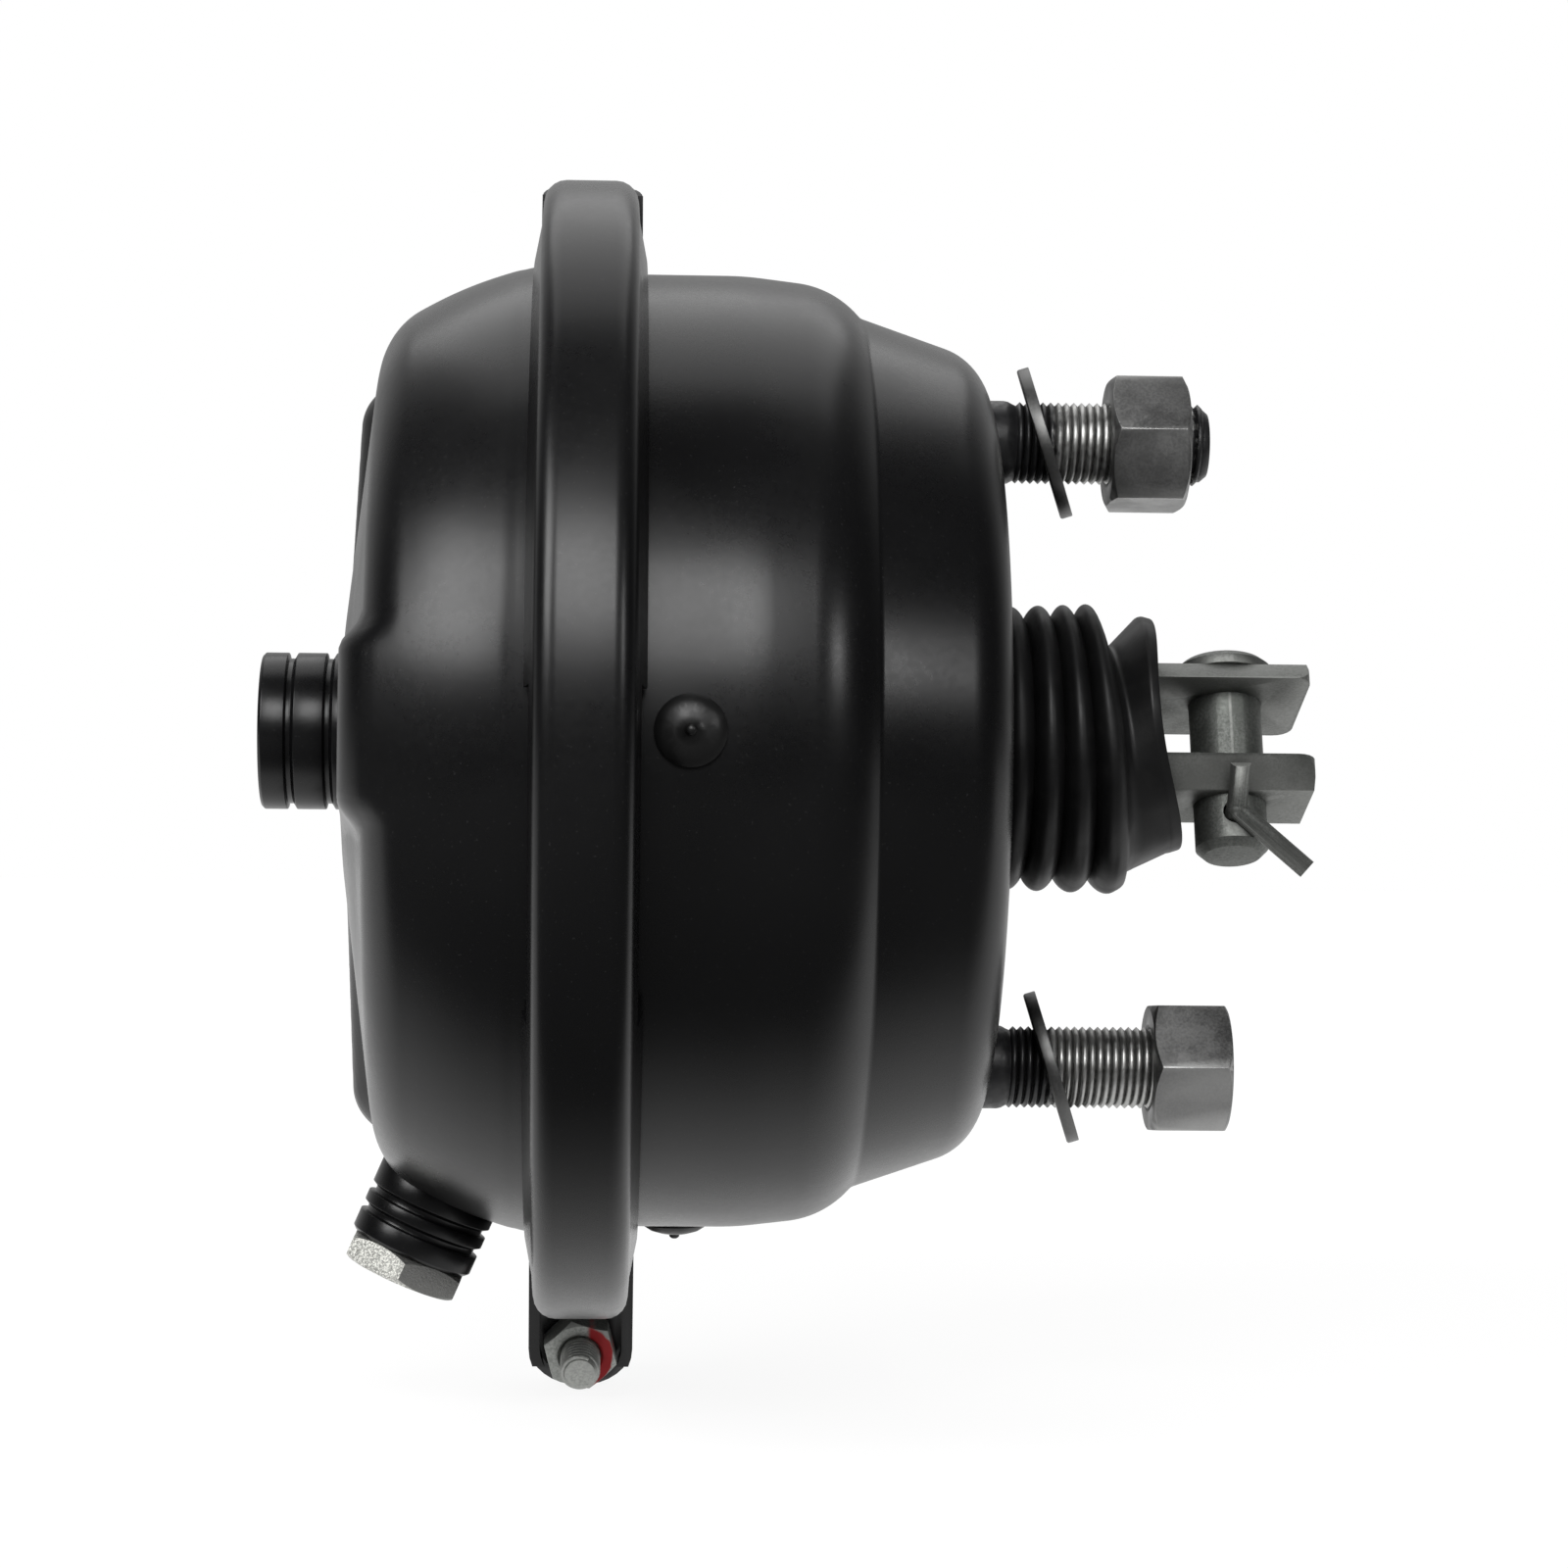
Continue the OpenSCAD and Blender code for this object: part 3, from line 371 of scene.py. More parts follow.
class Finish:
    """A Principled material whose patterns are read from Object coordinates."""

    def __init__(self, name, colour, roughness, metallic=0.0, **sockets):
        self.material = bpy.data.materials.new(name)
        self.material.use_nodes = True
        self.nodes = self.material.node_tree.nodes
        self.links = self.material.node_tree.links
        self.shader = self.nodes["Principled BSDF"]
        self.shader.inputs["Base Color"].default_value = (*colour, 1)
        self.shader.inputs["Roughness"].default_value = roughness
        self.shader.inputs["Metallic"].default_value = metallic
        for socket, value in sockets.items():
            self.shader.inputs[socket.replace("_", " ")].default_value = value
        self.place = self.nodes.new("ShaderNodeTexCoord").outputs["Object"]
        self.normal = None

    def join(self, value, socket):
        if isinstance(value, bpy.types.NodeSocket):
            self.links.new(value, socket)
        else:
            socket.default_value = value

    def noise(self, size, detail=3.0, stretch=(1, 1, 1), roughness=0.5):
        """Noise with features about size mm across."""
        mapping = self.nodes.new("ShaderNodeMapping")
        mapping.inputs["Scale"].default_value = stretch
        self.links.new(self.place, mapping.inputs["Vector"])
        node = self.nodes.new("ShaderNodeTexNoise")
        node.inputs["Scale"].default_value = 1 / (size * MM)
        node.inputs["Detail"].default_value = detail
        node.inputs["Roughness"].default_value = roughness
        self.links.new(mapping.outputs["Vector"], node.inputs["Vector"])
        return node.outputs["Fac"]

    def ranged(self, value, low, high, first=0.0, last=1.0):
        node = self.nodes.new("ShaderNodeMapRange")
        node.interpolation_type = "SMOOTHSTEP"
        for socket, number in (("From Min", low), ("From Max", high), ("To Min", first), ("To Max", last)):
            node.inputs[socket].default_value = number
        self.join(value, node.inputs["Value"])
        return node.outputs["Result"]

    def maths(self, operation, first, second=0.0):
        node = self.nodes.new("ShaderNodeMath")
        node.operation = operation
        self.join(first, node.inputs[0])
        self.join(second, node.inputs[1])
        return node.outputs["Value"]

    def blend(self, first, share, second):
        """A sum of two patterns, of which the first has the given share."""
        rest = self.maths("MULTIPLY", second, 1 - share)
        return self.maths("ADD", self.maths("MULTIPLY", first, share), rest)

    def shifted(self, value, pattern, reach):
        """A place made ragged by a pattern, by up to half of reach either way."""
        return self.maths("ADD", value, self.maths("MULTIPLY", self.maths("SUBTRACT", pattern, 0.5), reach))

    def part(self, axis):
        node = self.nodes.new("ShaderNodeSeparateXYZ")
        self.links.new(self.place, node.inputs["Vector"])
        return node.outputs[axis]

    def edges(self, low, high):
        """1 where the surface is sharply convex."""
        return self.ranged(self.nodes.new("ShaderNodeNewGeometry").outputs["Pointiness"], low, high)

    def mixed(self, factor, first, second):
        node = self.nodes.new("ShaderNodeMix")
        node.data_type = "RGBA"
        self.join(factor, node.inputs["Factor"])
        rgba = [s for s in node.inputs if s.type == "RGBA"]
        for socket, colour in zip(rgba, (first, second)):
            self.join(colour if isinstance(colour, bpy.types.NodeSocket) else (*colour, 1), socket)
        return [s for s in node.outputs if s.type == "RGBA"][0]

    def colour(self, value):
        self.links.new(value, self.shader.inputs["Base Color"])
        return self

    def rough(self, value):
        self.links.new(value, self.shader.inputs["Roughness"])
        return self

    def metal(self, value):
        self.links.new(value, self.shader.inputs["Metallic"])
        return self

    def bump(self, height, depth, strength=1.0):
        """Relief of about depth mm."""
        node = self.nodes.new("ShaderNodeBump")
        node.inputs["Distance"].default_value = depth * MM
        node.inputs["Strength"].default_value = strength
        self.links.new(height, node.inputs["Height"])
        if self.normal is not None:
            self.links.new(self.normal, node.inputs["Normal"])
        self.normal = node.outputs["Normal"]
        self.links.new(self.normal, self.shader.inputs["Normal"])
        return self


def painted_shell():
    """Semi-gloss black paint over pressed steel, with a faint orange peel and a thin film of dust."""
    f = Finish("black_paint", (0.006, 0.006, 0.0065), 0.34, Specular_IOR_Level=0.35)
    patches = f.noise(28, 4)
    f.rough(f.ranged(f.blend(patches, 0.75, f.noise(1.1, 2)), 0.3, 0.7, 0.25, 0.33))
    speck = f.maths("MULTIPLY", f.ranged(f.noise(0.55, 1), 0.69, 0.8), 0.25)
    black = f.mixed(patches, (0.0025, 0.0025, 0.0028), (0.0045, 0.0045, 0.0049))
    f.colour(f.mixed(speck, black, (0.05, 0.05, 0.05)))
    f.bump(f.noise(1.5, 1.5), 0.02, 0.35)
    f.bump(f.noise(26, 1), 0.35, 0.12)
    return f.material


def moulded_rubber():
    f = Finish("moulded_rubber", (0.009, 0.009, 0.0095), 0.46, Specular_IOR_Level=0.35)
    patches = f.noise(9, 4)
    f.rough(f.ranged(patches, 0.3, 0.72, 0.4, 0.56))
    bloom = f.ranged(f.noise(4, 5), 0.5, 0.8)
    f.colour(f.mixed(f.maths("MULTIPLY", bloom, 0.35), (0.0045, 0.0045, 0.0048), (0.016, 0.0155, 0.015)))
    f.bump(f.noise(0.6, 3), 0.03, 0.5)
    f.bump(f.noise(5, 2), 0.1, 0.25)
    return f.material


def phosphated_steel(name="phosphated_steel", shade=0.135, edge_wear_and_highlight=0.45):
    """Dark grey steel, paler along its edges: partly rubbed wear and partly a painted edge highlight."""
    f = Finish(name, (shade,) * 3, 0.42, 1.0)
    patches = f.noise(5, 5)
    fine = f.noise(0.5, 3)
    # Paler along sharp edges: partly rubbed wear, partly a painted edge highlight.
    pale_edges = f.edges(0.504, 0.545)
    tone = f.mixed(patches, (shade * 0.72,) * 3, (shade * 1.25, shade * 1.25, shade * 1.22))
    tone = f.mixed(f.ranged(fine, 0.35, 0.65), (shade * 0.7,) * 3, tone)
    f.colour(f.mixed(f.maths("MULTIPLY", pale_edges, edge_wear_and_highlight), tone, (0.72, 0.72, 0.71)))
    f.rough(f.ranged(f.blend(patches, 0.6, fine), 0.3, 0.7, 0.34, 0.52))
    f.bump(fine, 0.02, 0.5)
    return f.material


def part_painted_stud():
    """The stud's steel, black where the paint reached, which is up to about its washer."""
    f = Finish("part_painted_stud", (0.2, 0.2, 0.2), 0.4, 1.0)
    ragged = f.shifted(f.part("X"), f.noise(2.2, 4), 0.009)
    bare = f.maths("MULTIPLY", f.ranged(ragged, 0.0128, 0.0162), f.ranged(ragged, 0.0392, 0.0402, 1.0, 0.0))
    pale_edges = f.edges(0.5, 0.56)
    steel = f.mixed(pale_edges, (0.13, 0.13, 0.13), (0.42, 0.42, 0.41))
    f.colour(f.mixed(bare, (0.012, 0.012, 0.013), steel))
    f.metal(bare)
    f.rough(f.ranged(f.noise(1.2, 3), 0.3, 0.7, 0.32, 0.5))
    f.bump(f.noise(0.4, 2), 0.015, 0.4)
    return f.material


def zinc_plate(name="zinc_plate", pale=(0.19, 0.197, 0.187), dull=(0.13, 0.137, 0.127), marked=False):
    """Dull zinc plating with cloudy patches, and on a marked nut a dab of red inspection paint."""
    f = Finish(name, pale, 0.55, 0.85)
    clouds = f.noise(7, 6)
    fine = f.noise(0.7, 3)
    tone = f.mixed(f.ranged(clouds, 0.32, 0.68), dull, pale)
    tone = f.mixed(f.ranged(f.noise(0.5, 4, roughness=0.65), 0.38, 0.6), tuple(0.88 * c for c in dull), tone)
    tone = f.mixed(f.maths("MULTIPLY", f.edges(0.504, 0.56), 0.25), tone, (0.6, 0.6, 0.58))
    if marked:
        joint = math.radians(LOWER_JOINT)
        aside = f.maths("SUBTRACT", f.part("X"), CLAMP_X * MM)
        out = f.maths("MULTIPLY", f.part("Y"), -math.cos(joint))
        out = f.maths("ADD", out, f.maths("MULTIPLY", f.part("Z"), math.sin(joint)))
        out = f.maths("SUBTRACT", out, LOWER_BOLT_R * MM)
        far = f.maths("SQRT", f.maths("ADD", f.maths("MULTIPLY", aside, aside), f.maths("MULTIPLY", out, out)))
        far = f.shifted(far, f.noise(2.5, 2), 0.0012)
        dab = f.maths("MULTIPLY", f.ranged(far, 0.0039, 0.0042), f.ranged(far, 0.0063, 0.0067, 1.0, 0.0))
        dab = f.maths("MULTIPLY", dab, f.ranged(aside, 0.0012, 0.0022))
        tone = f.mixed(dab, tone, (0.5, 0.02, 0.025))
        f.metal(f.maths("MULTIPLY", f.maths("SUBTRACT", 1.0, dab), 0.85))
    f.colour(tone)
    f.rough(f.ranged(f.blend(clouds, 0.6, fine), 0.3, 0.7, 0.44, 0.62))
    f.bump(fine, 0.03, 0.45)
    f.bump(f.noise(3.5, 3), 0.06, 0.2)
    return f.material


def coarse_zinc():
    """The plug's coarse plating, with a painted highlight: pale on the faces that turn towards the housing's
    end, and darker elsewhere.
    """
    f = Finish("coarse_zinc", (0.5, 0.5, 0.48), 0.6, 0.9)
    geometry = f.nodes.new("ShaderNodeNewGeometry")
    turn = f.nodes.new("ShaderNodeSeparateXYZ")
    f.links.new(geometry.outputs["Normal"], turn.inputs["Vector"])
    # Painted highlight: the faces that turn towards -X, the housing's end, are made pale.
    pale = f.ranged(f.maths("MULTIPLY", turn.outputs["X"], -1.0), 0.0, 0.35)
    grain = f.noise(0.45, 4, roughness=0.7)
    painted_highlight_grain = f.mixed(f.ranged(grain, 0.4, 0.62), (0.34, 0.34, 0.32), (0.95, 0.95, 0.9))
    f.colour(f.mixed(pale, f.mixed(grain, (0.16, 0.16, 0.155), (0.28, 0.28, 0.27)), painted_highlight_grain))
    f.rough(f.ranged(grain, 0.3, 0.7, 0.45, 0.7))
    f.bump(grain, 0.25, 0.8)
    return f.material


def spring_steel():
    f = Finish("spring_steel", (0.2, 0.2, 0.21), 0.36, 1.0)
    patches = f.noise(12, 4)
    f.colour(f.mixed(patches, (0.13, 0.13, 0.135), (0.28, 0.28, 0.29)))
    f.rough(f.ranged(patches, 0.3, 0.7, 0.28, 0.45))
    f.bump(f.noise(0.6, 2), 0.02, 0.4)
    return f.material


def moulded_plastic():
    f = Finish("moulded_plastic", (0.007, 0.007, 0.007), 0.36, Specular_IOR_Level=0.4)
    f.rough(f.ranged(f.noise(3, 3), 0.3, 0.7, 0.32, 0.46))
    f.bump(f.noise(0.7, 2), 0.02, 0.4)
    return f.material


PAINT = painted_shell()
RUBBER = moulded_rubber()
STEEL = phosphated_steel()
WASHER_STEEL = phosphated_steel("washer_steel", 0.06, 0.15)
STUD = part_painted_stud()
ZINC = zinc_plate()
NUT_ZINC = zinc_plate("bolt_zinc", (0.38, 0.39, 0.37), (0.26, 0.27, 0.255))
MARKED_ZINC = zinc_plate("marked_zinc", (0.4, 0.41, 0.39), (0.27, 0.28, 0.265), marked=True)
COARSE = coarse_zinc()
SPRING = spring_steel()
PLASTIC = moulded_plastic()


# The two pressed shells

def wall_r(x):
    return DOME_END_R + (x - DOME_X) * WALL_SLOPE


def pressure_shell():
    """The domed end: a line for the valleys and one for each raised lobe, blended round the axis."""
    seat = CLAMP_X - BEAD / 2 - SHEET
    top_r = BARREL_R + 1.8
    knee = (DOME_X + (top_r - 1 - DOME_END_R) / WALL_SLOPE, top_r - 1)
    hole_r = PORT_BORE_R - 1.2
    outer = [knee, (seat, top_r), (seat, FLANGE_R)]
    rows, columns = 150, 288

    def face_line(drop):
        x = DOME_X + drop
        corners = [(DOME_X, hole_r), (DOME_X, LAND_R), (x, wall_r(x)), *outer]
        return resampled(rounded(corners, [0, 30, 12, 20, 2, 0], 14), rows)

    valley = face_line(VALLEY_DEPTH + 0.6)
    front, back = face_line(FRONT_LOBE_DROP), face_line(BACK_LOBE_DROP)
    bulge_x = DOME_X + 8
    angles = np.linspace(0, 2 * math.pi, columns, endpoint=False)
    points = np.zeros((rows, columns, 3))
    for i in range(rows):
        vx, vr = valley[i]
        x, r = np.full(columns, vx), np.full(columns, vr)
        for lobe, raised in ((0, front), (120, back), (240, back)):
            rx, rr = raised[i]
            flank = max(math.hypot(vx - rx, vr - rr) * LOBE_DRAFT, 2.5)
            turn = angles - math.radians(lobe + LOBE_TURN)
            aside = np.abs(rr * np.sin(turn))
            inside = 1 - smooth((aside - LOBE_W / 2 + 1.5) / (flank + 3))
            weight = np.where(np.cos(turn) > 0, inside, 0)
            x += weight * (rx - vx)
            r += weight * (rr - vr)
        r += WALL_BULGE * np.sin(math.pi * np.clip((x - bulge_x) / (knee[0] - bulge_x), 0, 1))
        lift = PORT_Z * (1 - smooth((r - hole_r) / (LAND_R - hole_r)))
        points[i] = np.stack([x, -r * np.cos(angles), r * np.sin(angles) + lift], 1)
    piece = link("pressure_shell", tidied(grid_mesh("pressure_shell", points)))
    middle = Vector((-0.085, 0, 0))
    bm = bmesh.new()
    bm.from_mesh(piece.data)
    inwards = sum(1 for f in bm.faces if f.normal.dot(f.calc_center_median() - middle) < 0)
    if inwards > len(bm.faces) / 2:
        bmesh.ops.reverse_faces(bm, faces=bm.faces)
    bm.to_mesh(piece.data)
    bm.free()
    settled(walled(piece, SHEET))
    creased(piece.data, 50)
    return placed(piece, PAINT, "pressure_housing")


def non_pressure_shell():
    seat = CLAMP_X + BEAD / 2
    shoulder = (CREASE_X - SHOULDER_RUN, CREASE_R + SHOULDER_RUN * math.tan(math.radians(SHOULDER_ANGLE)))
    line = rounded(
        [
            (-BOOT_SEAT_H, BOOT_HOLE_R), (-BOOT_SEAT_H, BOOT_SEAT_R), (0, BOOT_SEAT_R + 0.6), (0, STEP_R),
            (CREASE_X, CREASE_R), shoulder, (CREASE_X - 22, BARREL_R), (seat + SHEET, BARREL_R),
            (seat + SHEET, FLANGE_R),
        ],
        [0, 0.3, 0.4, FACE_EDGE_R, 2.5, 18, 60, 3, 0], 16,
    )
    inside = []
    line = [np.array(p) for p in line]
    for i, point in enumerate(line):
        a = line[min(i + 1, len(line) - 1)] - line[max(i - 1, 0)]
        a = a / np.linalg.norm(a)
        inside.append(point + SHEET * np.array([-abs(a[1]), -abs(a[0])]))
    inside[-1] = np.array([seat, FLANGE_R])
    inside[-2] = np.array([seat, BARREL_R - SHEET]) if inside[-2][1] < BARREL_R else inside[-2]
    kept = [p for p in inside if p[1] <= BARREL_R - SHEET + 0.01 or p[0] <= seat + 0.01]
    piece = link("non_pressure_shell", lathe("non_pressure_shell", line + kept[::-1], 288, closed=True))
    creased(piece.data, 40)
    return placed(piece, PAINT, "non_pressure_housing")


pressure_shell()
non_pressure_shell()


# The boot, whose folds lean over into its skirt

def boot():
    def fold_r(u):
        return BOOT_R - FOLD_DEPTH + FOLD_DEPTH * max(0.0, math.sin(math.pi * u)) ** 0.6

    neck_x = FOLD_X + FOLDS * FOLD_PITCH + 1.6
    button = [
        (-SHEET - 2.4, BOOT_HOLE_R - 0.3), (-SHEET - 2.4, BOOT_HOLE_R + 2.8), (-SHEET - 0.3, BOOT_HOLE_R + 3.3),
        (-SHEET - 0.3, BOOT_HOLE_R - 0.3), (-BOOT_SEAT_H + 0.3, BOOT_HOLE_R - 0.3),
        (-BOOT_SEAT_H + 0.3, BOOT_R - 1), (1.6, BOOT_R - 0.4),
    ]
    folds = [
        (FOLD_X + FOLD_PITCH * (i + j / 14), fold_r(j / 14) + 0.2 * i) for i in range(FOLDS) for j in range(14)
    ]
    skirt = rounded(
        [
            (neck_x - 1.2, BOOT_NECK_R + 0.6), (neck_x + 0.4, BOOT_NECK_R - 0.6),
            (SKIRT_X - 1.6, SKIRT_R + 0.5), (SKIRT_X, SKIRT_R - 0.1), (SKIRT_X, SKIRT_R - 1.2),
            (SKIRT_X - 1, SKIRT_R + 0.1 - BOOT_WALL),
        ],
        [0, 1.2, 1, 0.4, 0.3, 0], 5,
    )
    inside = [
        (SKIRT_X - 2.4, SKIRT_R - BOOT_WALL), (neck_x + 0.6, BOOT_NECK_R - 0.6 - BOOT_WALL),
        (neck_x - 0.6, BOOT_NECK_R - 0.4 - BOOT_WALL),
    ]
    inside += [
        (FOLD_X + FOLD_PITCH * (i + j / 8), fold_r(j / 8) - BOOT_WALL)
        for i in range(FOLDS - 1, -1, -1) for j in range(8, 0, -1)
    ]
    inside += [(FOLD_X - 0.6, BOOT_HOLE_R - 0.3 - BOOT_WALL), (-SHEET - 2.4, BOOT_HOLE_R - 0.3 - BOOT_WALL)]
    line = np.array([tuple(p) for p in button + folds + list(skirt) + inside], float)
    steps = 128
    angles = np.linspace(0, 2 * math.pi, steps, endpoint=False)
    x, r = line[:, 0][:, None], line[:, 1][:, None]
    start = FOLD_X + FOLD_PITCH
    lean = np.tan(np.radians(SKIRT_LEAN * smooth((x - start) / (SKIRT_X - start))))
    lift = FOLD_LIFT * smooth(x / FOLD_PITCH)
    lift -= 1.6 * smooth((x - neck_x + 3.4) / 3) * (1 - smooth((x - neck_x) / 4))
    lift += (SKIRT_LIFT - FOLD_LIFT) * smooth((x - neck_x) / (SKIRT_X - neck_x - 1))
    rise = r * np.sin(angles)
    loose = smooth((x - neck_x) / (SKIRT_X - neck_x))
    sway = loose * (SKIRT_SADDLE * np.sin(angles) ** 2 + 0.35 * np.sin(3 * angles + 2.1))
    ruffle = 1 + loose * (0.012 * np.sin(3 * angles + 0.9) + 0.01 * np.sin(5 * angles))
    points = np.stack([x + sway - rise * lean, r * ruffle * np.cos(angles), lift + rise * ruffle], 2)
    piece = link("boot_dressed", tidied(grid_mesh("boot_dressed", points, wrap_rows=True)))
    creased(piece.data, 60)
    piece.data.materials.append(RUBBER)
    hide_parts("boot")
    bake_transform(piece)
    return piece


boot()


# The studs and the clamp's bolts, with their threads

def stud(side, name):
    place = at(0, 0, side * STUD_Z)
    core = THREAD_R - STUD_PITCH / 2
    head_x, under_x = -12.6, -SHEET - CLEAR - STUD_PLATE_T
    head_r, neck_r = 11.5, 8.4
    line = [
        (head_x, 0), (head_x, head_r - 1), (head_x + 1, head_r), (under_x, head_r), (under_x, neck_r),
        (0, neck_r), (0, SHANK_R),
        (SHANK_LEN - 0.8, SHANK_R), (SHANK_LEN, SHANK_R - 0.15), (SHANK_LEN + 0.9, core + 0.3),
        (SHANK_LEN + 1.6, core), (STUD_OUT - 1.8, core), (STUD_OUT - 1.2, core), (STUD_OUT, core - 1),
        (STUD_OUT, 0),
    ]
    body = lathe(name, line, 64, place=place)
    creased(body, 40)
    ridge = thread(name + "_ridge", SHANK_LEN + 1.6, STUD_OUT - 1.6, THREAD_R, STUD_PITCH, place, STUD)
    piece = link(name, joined(name, [body, ridge]))
    return placed(piece, STUD, "stud_upper" if side > 0 else "stud_lower")


stud(1, "upper_stud")
stud(-1, "lower_stud")


def clamp_bolt(joint, radius_out, turned, node, name):
    """A clamp bolt from its head to its end, with the thread where it shows."""
    turn = Matrix.Rotation(math.radians(90 - joint), 4, "X")
    place = turn @ at(CLAMP_X, 0, radius_out) @ Matrix.Rotation(math.radians(90), 4, "Z")
    face = LUG_GAP / 2 + LUG_T
    far, top = face + CLAMP_NUT_H + BOLT_STUB, -face - BOLT_HEAD_H
    core = BOLT_R - 0.55
    corner = BOLT_FLATS / math.sqrt(3) * MM
    head = bpy.data.meshes.new(name + "_head")
    bm = bmesh.new()
    rings = []
    for x, scale in ((top, 0.0), (top, 0.86), (top + 0.6, 1.0), (-face, 1.0), (-face, 0.0)):
        rings.append([
            bm.verts.new((x * MM, corner * scale * math.sin(a), -corner * scale * math.cos(a)))
            for a in (math.radians(60 * k - turned) for k in range(6))
        ])
    for first, second in zip(rings, rings[1:]):
        for k in range(6):
            bm.faces.new((first[k], first[(k + 1) % 6], second[(k + 1) % 6], second[k]))
    bm.to_mesh(head)
    bm.free()
    tidied(head)
    creased(head, 20)
    head.transform(place)
    line = [
        (-face - 1, 0), (-face - 1, BOLT_R), (-2, BOLT_R), (-1.4, core), (far - 0.7, core), (far, core - 0.5),
        (far, 0),
    ]
    shank = creased(lathe(name + "_shank", line, 40, place=place), 40)
    ridge = thread(name + "_ridge", -1.2, far - 0.6, BOLT_R, BOLT_PITCH, place, NUT_ZINC)
    piece = link(name, joined(name, [head, shank, ridge]))
    return placed(piece, NUT_ZINC, node)


clamp_bolt(LOWER_JOINT, LOWER_BOLT_R, 0, "clamp_bolt_lower", "lower_clamp_bolt")
clamp_bolt(UPPER_JOINT, UPPER_BOLT_R, 30, "clamp_bolt_upper", "upper_clamp_bolt")


# The spring and the diaphragm, inside

def return_spring():
    """The coil from the push plate to the stud plate."""
    first = DOME_X + SHEET + DIAPHRAGM_T + DIAPHRAGM_GAP + CLEAR + PUSH_PLATE_T + WIRE / 2 + CLEAR
    last = -SHEET - CLEAR - STUD_PLATE_T - WIRE / 2 - CLEAR
    mesh = helix(
        "return_spring_dressed", at(first, 0, 0), SPRING, Turns=6.0, First_radius=26, Last_radius=43,
        Length=last - first, Section_radius=WIRE / 2, Section_sides=16, Steps_a_turn=48,
    )
    piece = link("return_spring_dressed", mesh)
    mesh.shade_smooth()
    mesh.materials.clear()
    mesh.materials.append(SPRING)
    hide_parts("return_spring")
    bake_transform(piece)


def diaphragm():
    """The rubber cup, taken off its body and left where it stands."""
    piece = dressed("diaphragm", RUBBER, bevel=0)
    piece.parent = None
    del piece["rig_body"]
    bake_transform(piece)


return_spring()
diaphragm()


# What keeps the CAD's shape, with its edges broken

for node in ("clamp_front", "clamp_rear"):
    dressed(node, PAINT, bevel=0.35, angle=38)
for node in ("axial_port_boss", "side_port_boss"):
    dressed(node, PAINT, bevel=0.12, angle=30)
for node in ("vent_plug_front", "vent_plug_lower", "vent_plug_rear"):
    dressed(node, PLASTIC, bevel=0)
for node, turn in (("washer_upper", -7.5), ("washer_lower", -5)):
    dressed(node, WASHER_STEEL, bevel=0.15, angle=25, turned=Matrix.Rotation(math.radians(turn), 4, "Z"))
for node in ("stud_nut_upper", "stud_nut_lower", "clevis_lock_nut"):
    dressed(node, STEEL, bevel=0.42, angle=25)
for node in ("stud_plate", "push_plate"):
    dressed(node, STEEL, bevel=0.3)
for node, width in (("clevis", 0.3), ("clevis_pin", 0.15), ("split_pin", 0), ("pushrod", 0.15)):
    dressed(node, ZINC, bevel=width)
dressed("clamp_nut_lower", MARKED_ZINC, bevel=0.15, angle=25)
dressed("clamp_nut_upper", NUT_ZINC, bevel=0.15, angle=25)
dressed("side_port_plug", COARSE, bevel=0.3, angle=25)


# The studio

def maths(tree, operation, *values):
    """A Math node in a tree, fed with numbers or sockets."""
    node = tree.nodes.new("ShaderNodeMath")
    node.operation = operation
    for value, socket in zip(values, node.inputs):
        if isinstance(value, bpy.types.NodeSocket):
            tree.links.new(value, socket)
        else:
            socket.default_value = value
    return node.outputs["Value"]


def ramp_along_y(tree, kind, first, last, low, high):
    """low before first and high after last, along the y of a coordinate."""
    split = tree.nodes.new("ShaderNodeSeparateXYZ")
    tree.links.new(tree.nodes.new("ShaderNodeTexCoord").outputs[kind], split.inputs["Vector"])
    ramp = tree.nodes.new("ShaderNodeMapRange")
    ramp.interpolation_type = "SMOOTHSTEP"
    for socket, value in (("From Min", first), ("From Max", last), ("To Min", low), ("To Max", high)):
        ramp.inputs[socket].default_value = value
    tree.links.new(split.outputs["Y"], ramp.inputs["Value"])
    return ramp.outputs["Result"]


def floor():
    """A pale floor. The camera sees it nearly white, with the object's soft shadow, and so do
    reflections of what lies under and behind the object. The floor in front is darker."""
    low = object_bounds()[0][2]
    mesh = bpy.data.meshes.new("floor")
    mesh.from_pydata([(-4, -4, low), (4, -4, low), (4, 4, low), (-4, 4, low)], [], [(0, 1, 2, 3)])
    piece = link("floor", mesh)
    material = bpy.data.materials.new("pale_floor")
    material.use_nodes = True
    tree = material.node_tree
    shader = tree.nodes["Principled BSDF"]
    shader.inputs["Base Color"].default_value = (0.13, 0.13, 0.13, 1)
    shader.inputs["Roughness"].default_value = 0.9
    shader.inputs["Specular IOR Level"].default_value = 0.0
    shader.inputs["Emission Color"].default_value = (1, 1, 1, 1)
    path = tree.nodes.new("ShaderNodeLightPath").outputs
    seen = maths(tree, "MULTIPLY", maths(tree, "MAXIMUM", path["Is Camera Ray"], path["Is Transmission Ray"]),
                 ramp_along_y(tree, "Object", 0.15, 0.8, 0.9, 0.97))
    under = maths(tree, "MULTIPLY", path["Is Glossy Ray"], ramp_along_y(tree, "Object", -0.12, -0.03, 0.0, 0.9))
    tree.links.new(maths(tree, "ADD", seen, under), shader.inputs["Emission Strength"])
    mesh.materials.append(material)
    piece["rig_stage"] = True


def softbox(name, place, aim, size, power):
    lamp = bpy.data.lights.new(name, "AREA")
    lamp.shape = "RECTANGLE"
    lamp.size, lamp.size_y = size
    lamp.energy = power
    light = bpy.data.objects.new(name, lamp)
    bpy.context.scene.collection.objects.link(light)
    light.location = place
    light.rotation_euler = (Vector(aim) - Vector(place)).to_track_quat("-Z", "Y").to_euler()


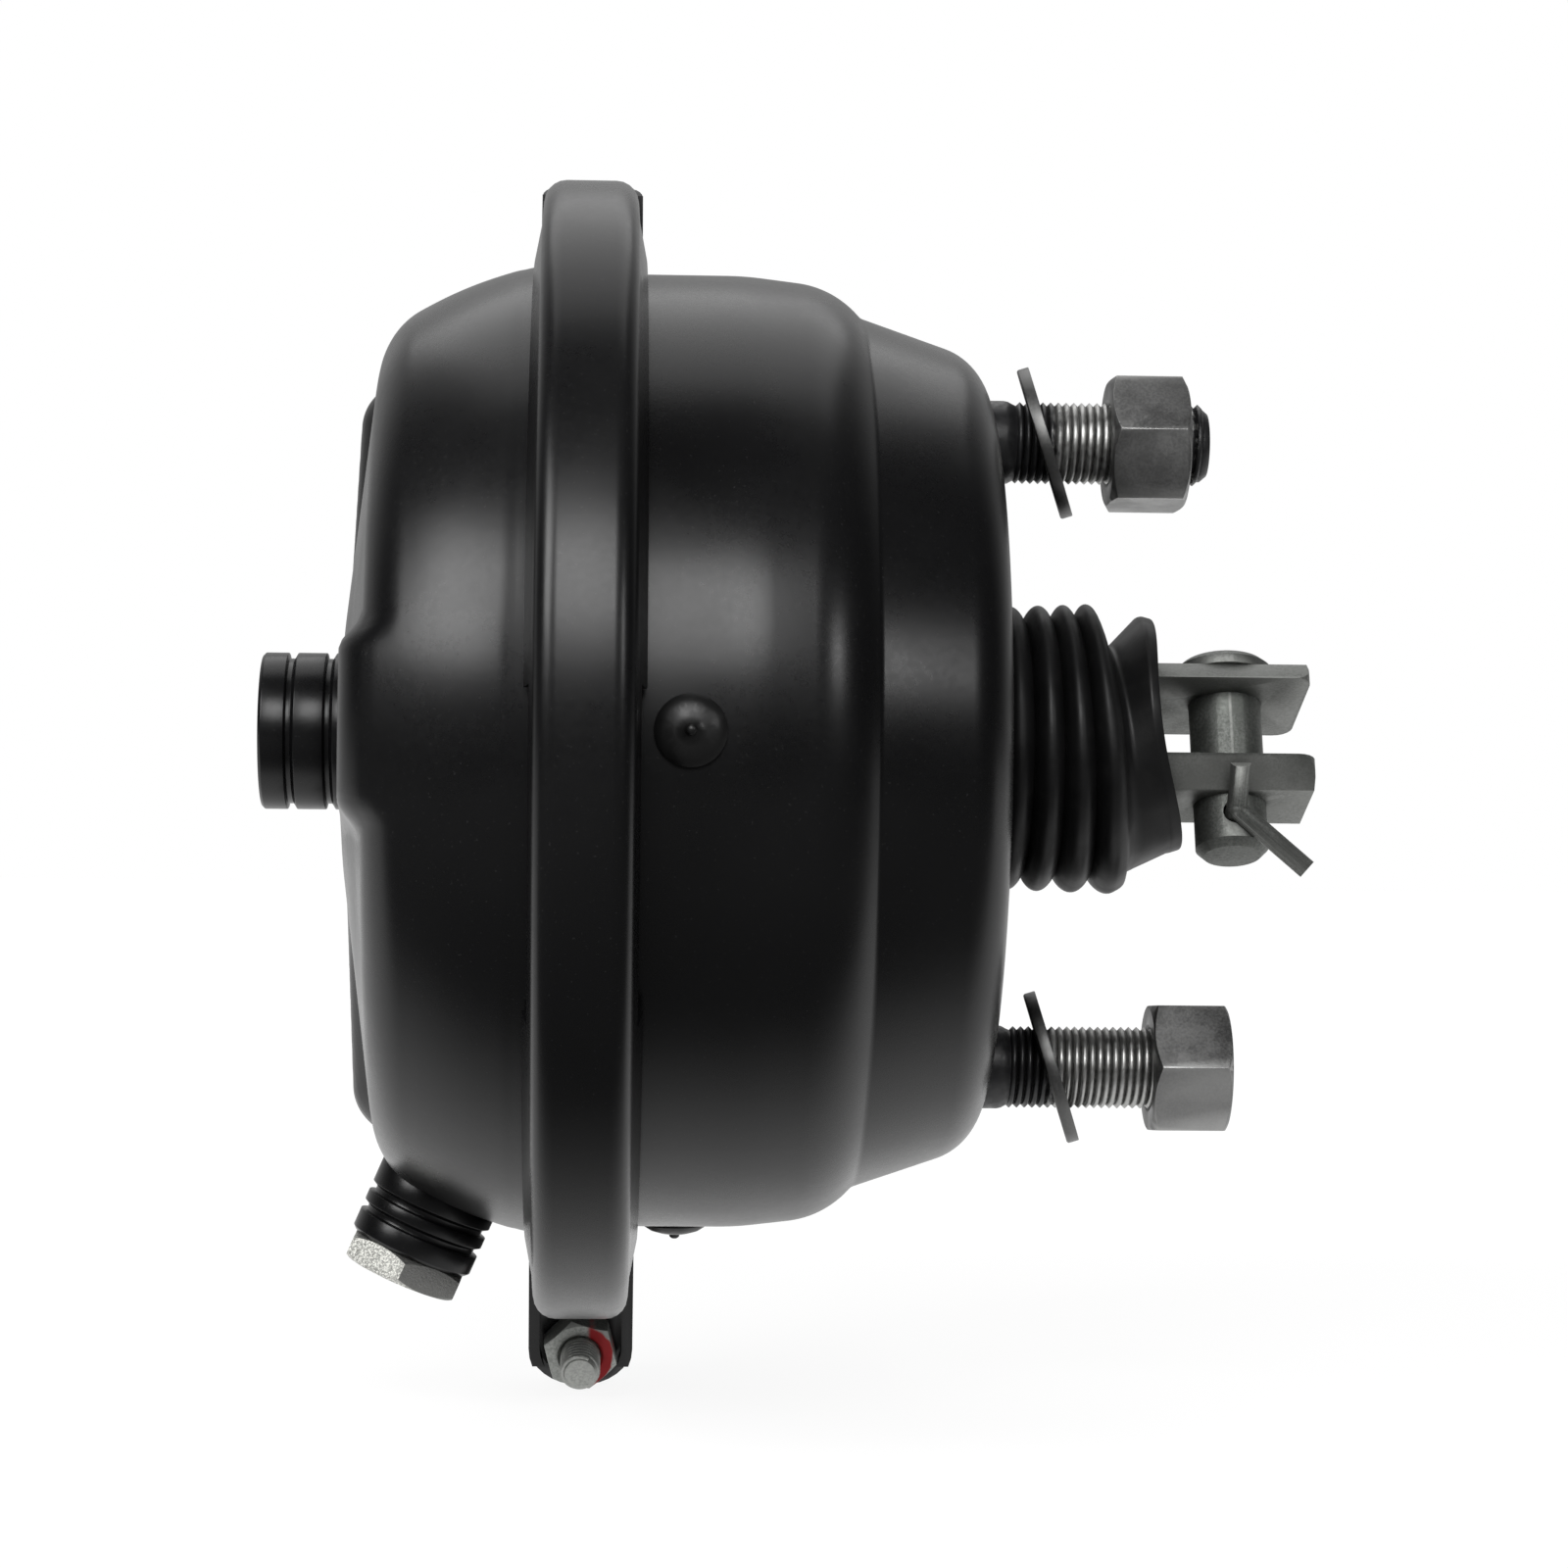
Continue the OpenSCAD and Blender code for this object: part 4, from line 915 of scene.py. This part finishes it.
def studio():
    """A white backdrop behind the object, a dim room in front of it, and the softboxes."""
    world = bpy.data.worlds.new("studio")
    bpy.context.scene.world = world
    world.use_nodes = True
    tree = world.node_tree
    back = tree.nodes["Background"]
    back.inputs["Color"].default_value = (1, 1, 1, 1)
    path = tree.nodes.new("ShaderNodeLightPath").outputs
    seen = maths(tree, "MAXIMUM", path["Is Camera Ray"], path["Is Transmission Ray"])
    room = ramp_along_y(tree, "Generated", 0.1, 0.9, 0.04, 0.55)
    mirrored = maths(tree, "MULTIPLY", path["Is Glossy Ray"], room)
    plain = maths(tree, "MULTIPLY", maths(tree, "SUBTRACT", 1.0, path["Is Glossy Ray"]), 0.3)
    lit = maths(tree, "MAXIMUM", seen, maths(tree, "ADD", mirrored, plain))
    tree.links.new(lit, back.inputs["Strength"])
    softbox("key_softbox", (-0.1, -0.95, 0.58), (-0.04, 0, 0), (0.6, 0.44), 7.2)
    softbox("left_softbox", (-0.8, -0.62, 0.55), (-0.08, 0, 0), (0.5, 0.5), 7)
    softbox("right_softbox", (0.62, -0.76, 0.36), (0, 0, 0), (0.2, 0.2), 1.2)
    softbox("top_softbox", (-0.05, 0.4, 0.9), (-0.04, 0, 0), (1.0, 0.9), 3.4)


def camera():
    """The photograph's camera: nearly square to the axis, from about 0.78 m away."""
    lens = bpy.data.cameras.new("camera")
    lens.sensor_width = 36
    lens.sensor_fit = "AUTO"
    lens.lens = 92.25
    lens.clip_start = 0.01
    view = bpy.data.objects.new("camera", lens)
    bpy.context.scene.collection.objects.link(view)
    yaw, roll, distance = math.radians(2.65), math.radians(0.6), 0.775
    target = Vector((-0.03745, 0, -0.0061))
    place = target - distance * Vector((math.sin(yaw), math.cos(yaw), 0))
    view.matrix_world = (
        Matrix.Translation(place) @ Matrix.Rotation(-yaw, 4, "Z")
        @ Matrix.Rotation(math.radians(90), 4, "X") @ Matrix.Rotation(roll, 4, "Z")
    )
    bpy.context.scene.camera = view


floor()
studio()
camera()
bpy.context.scene.view_settings.view_transform = "Standard"
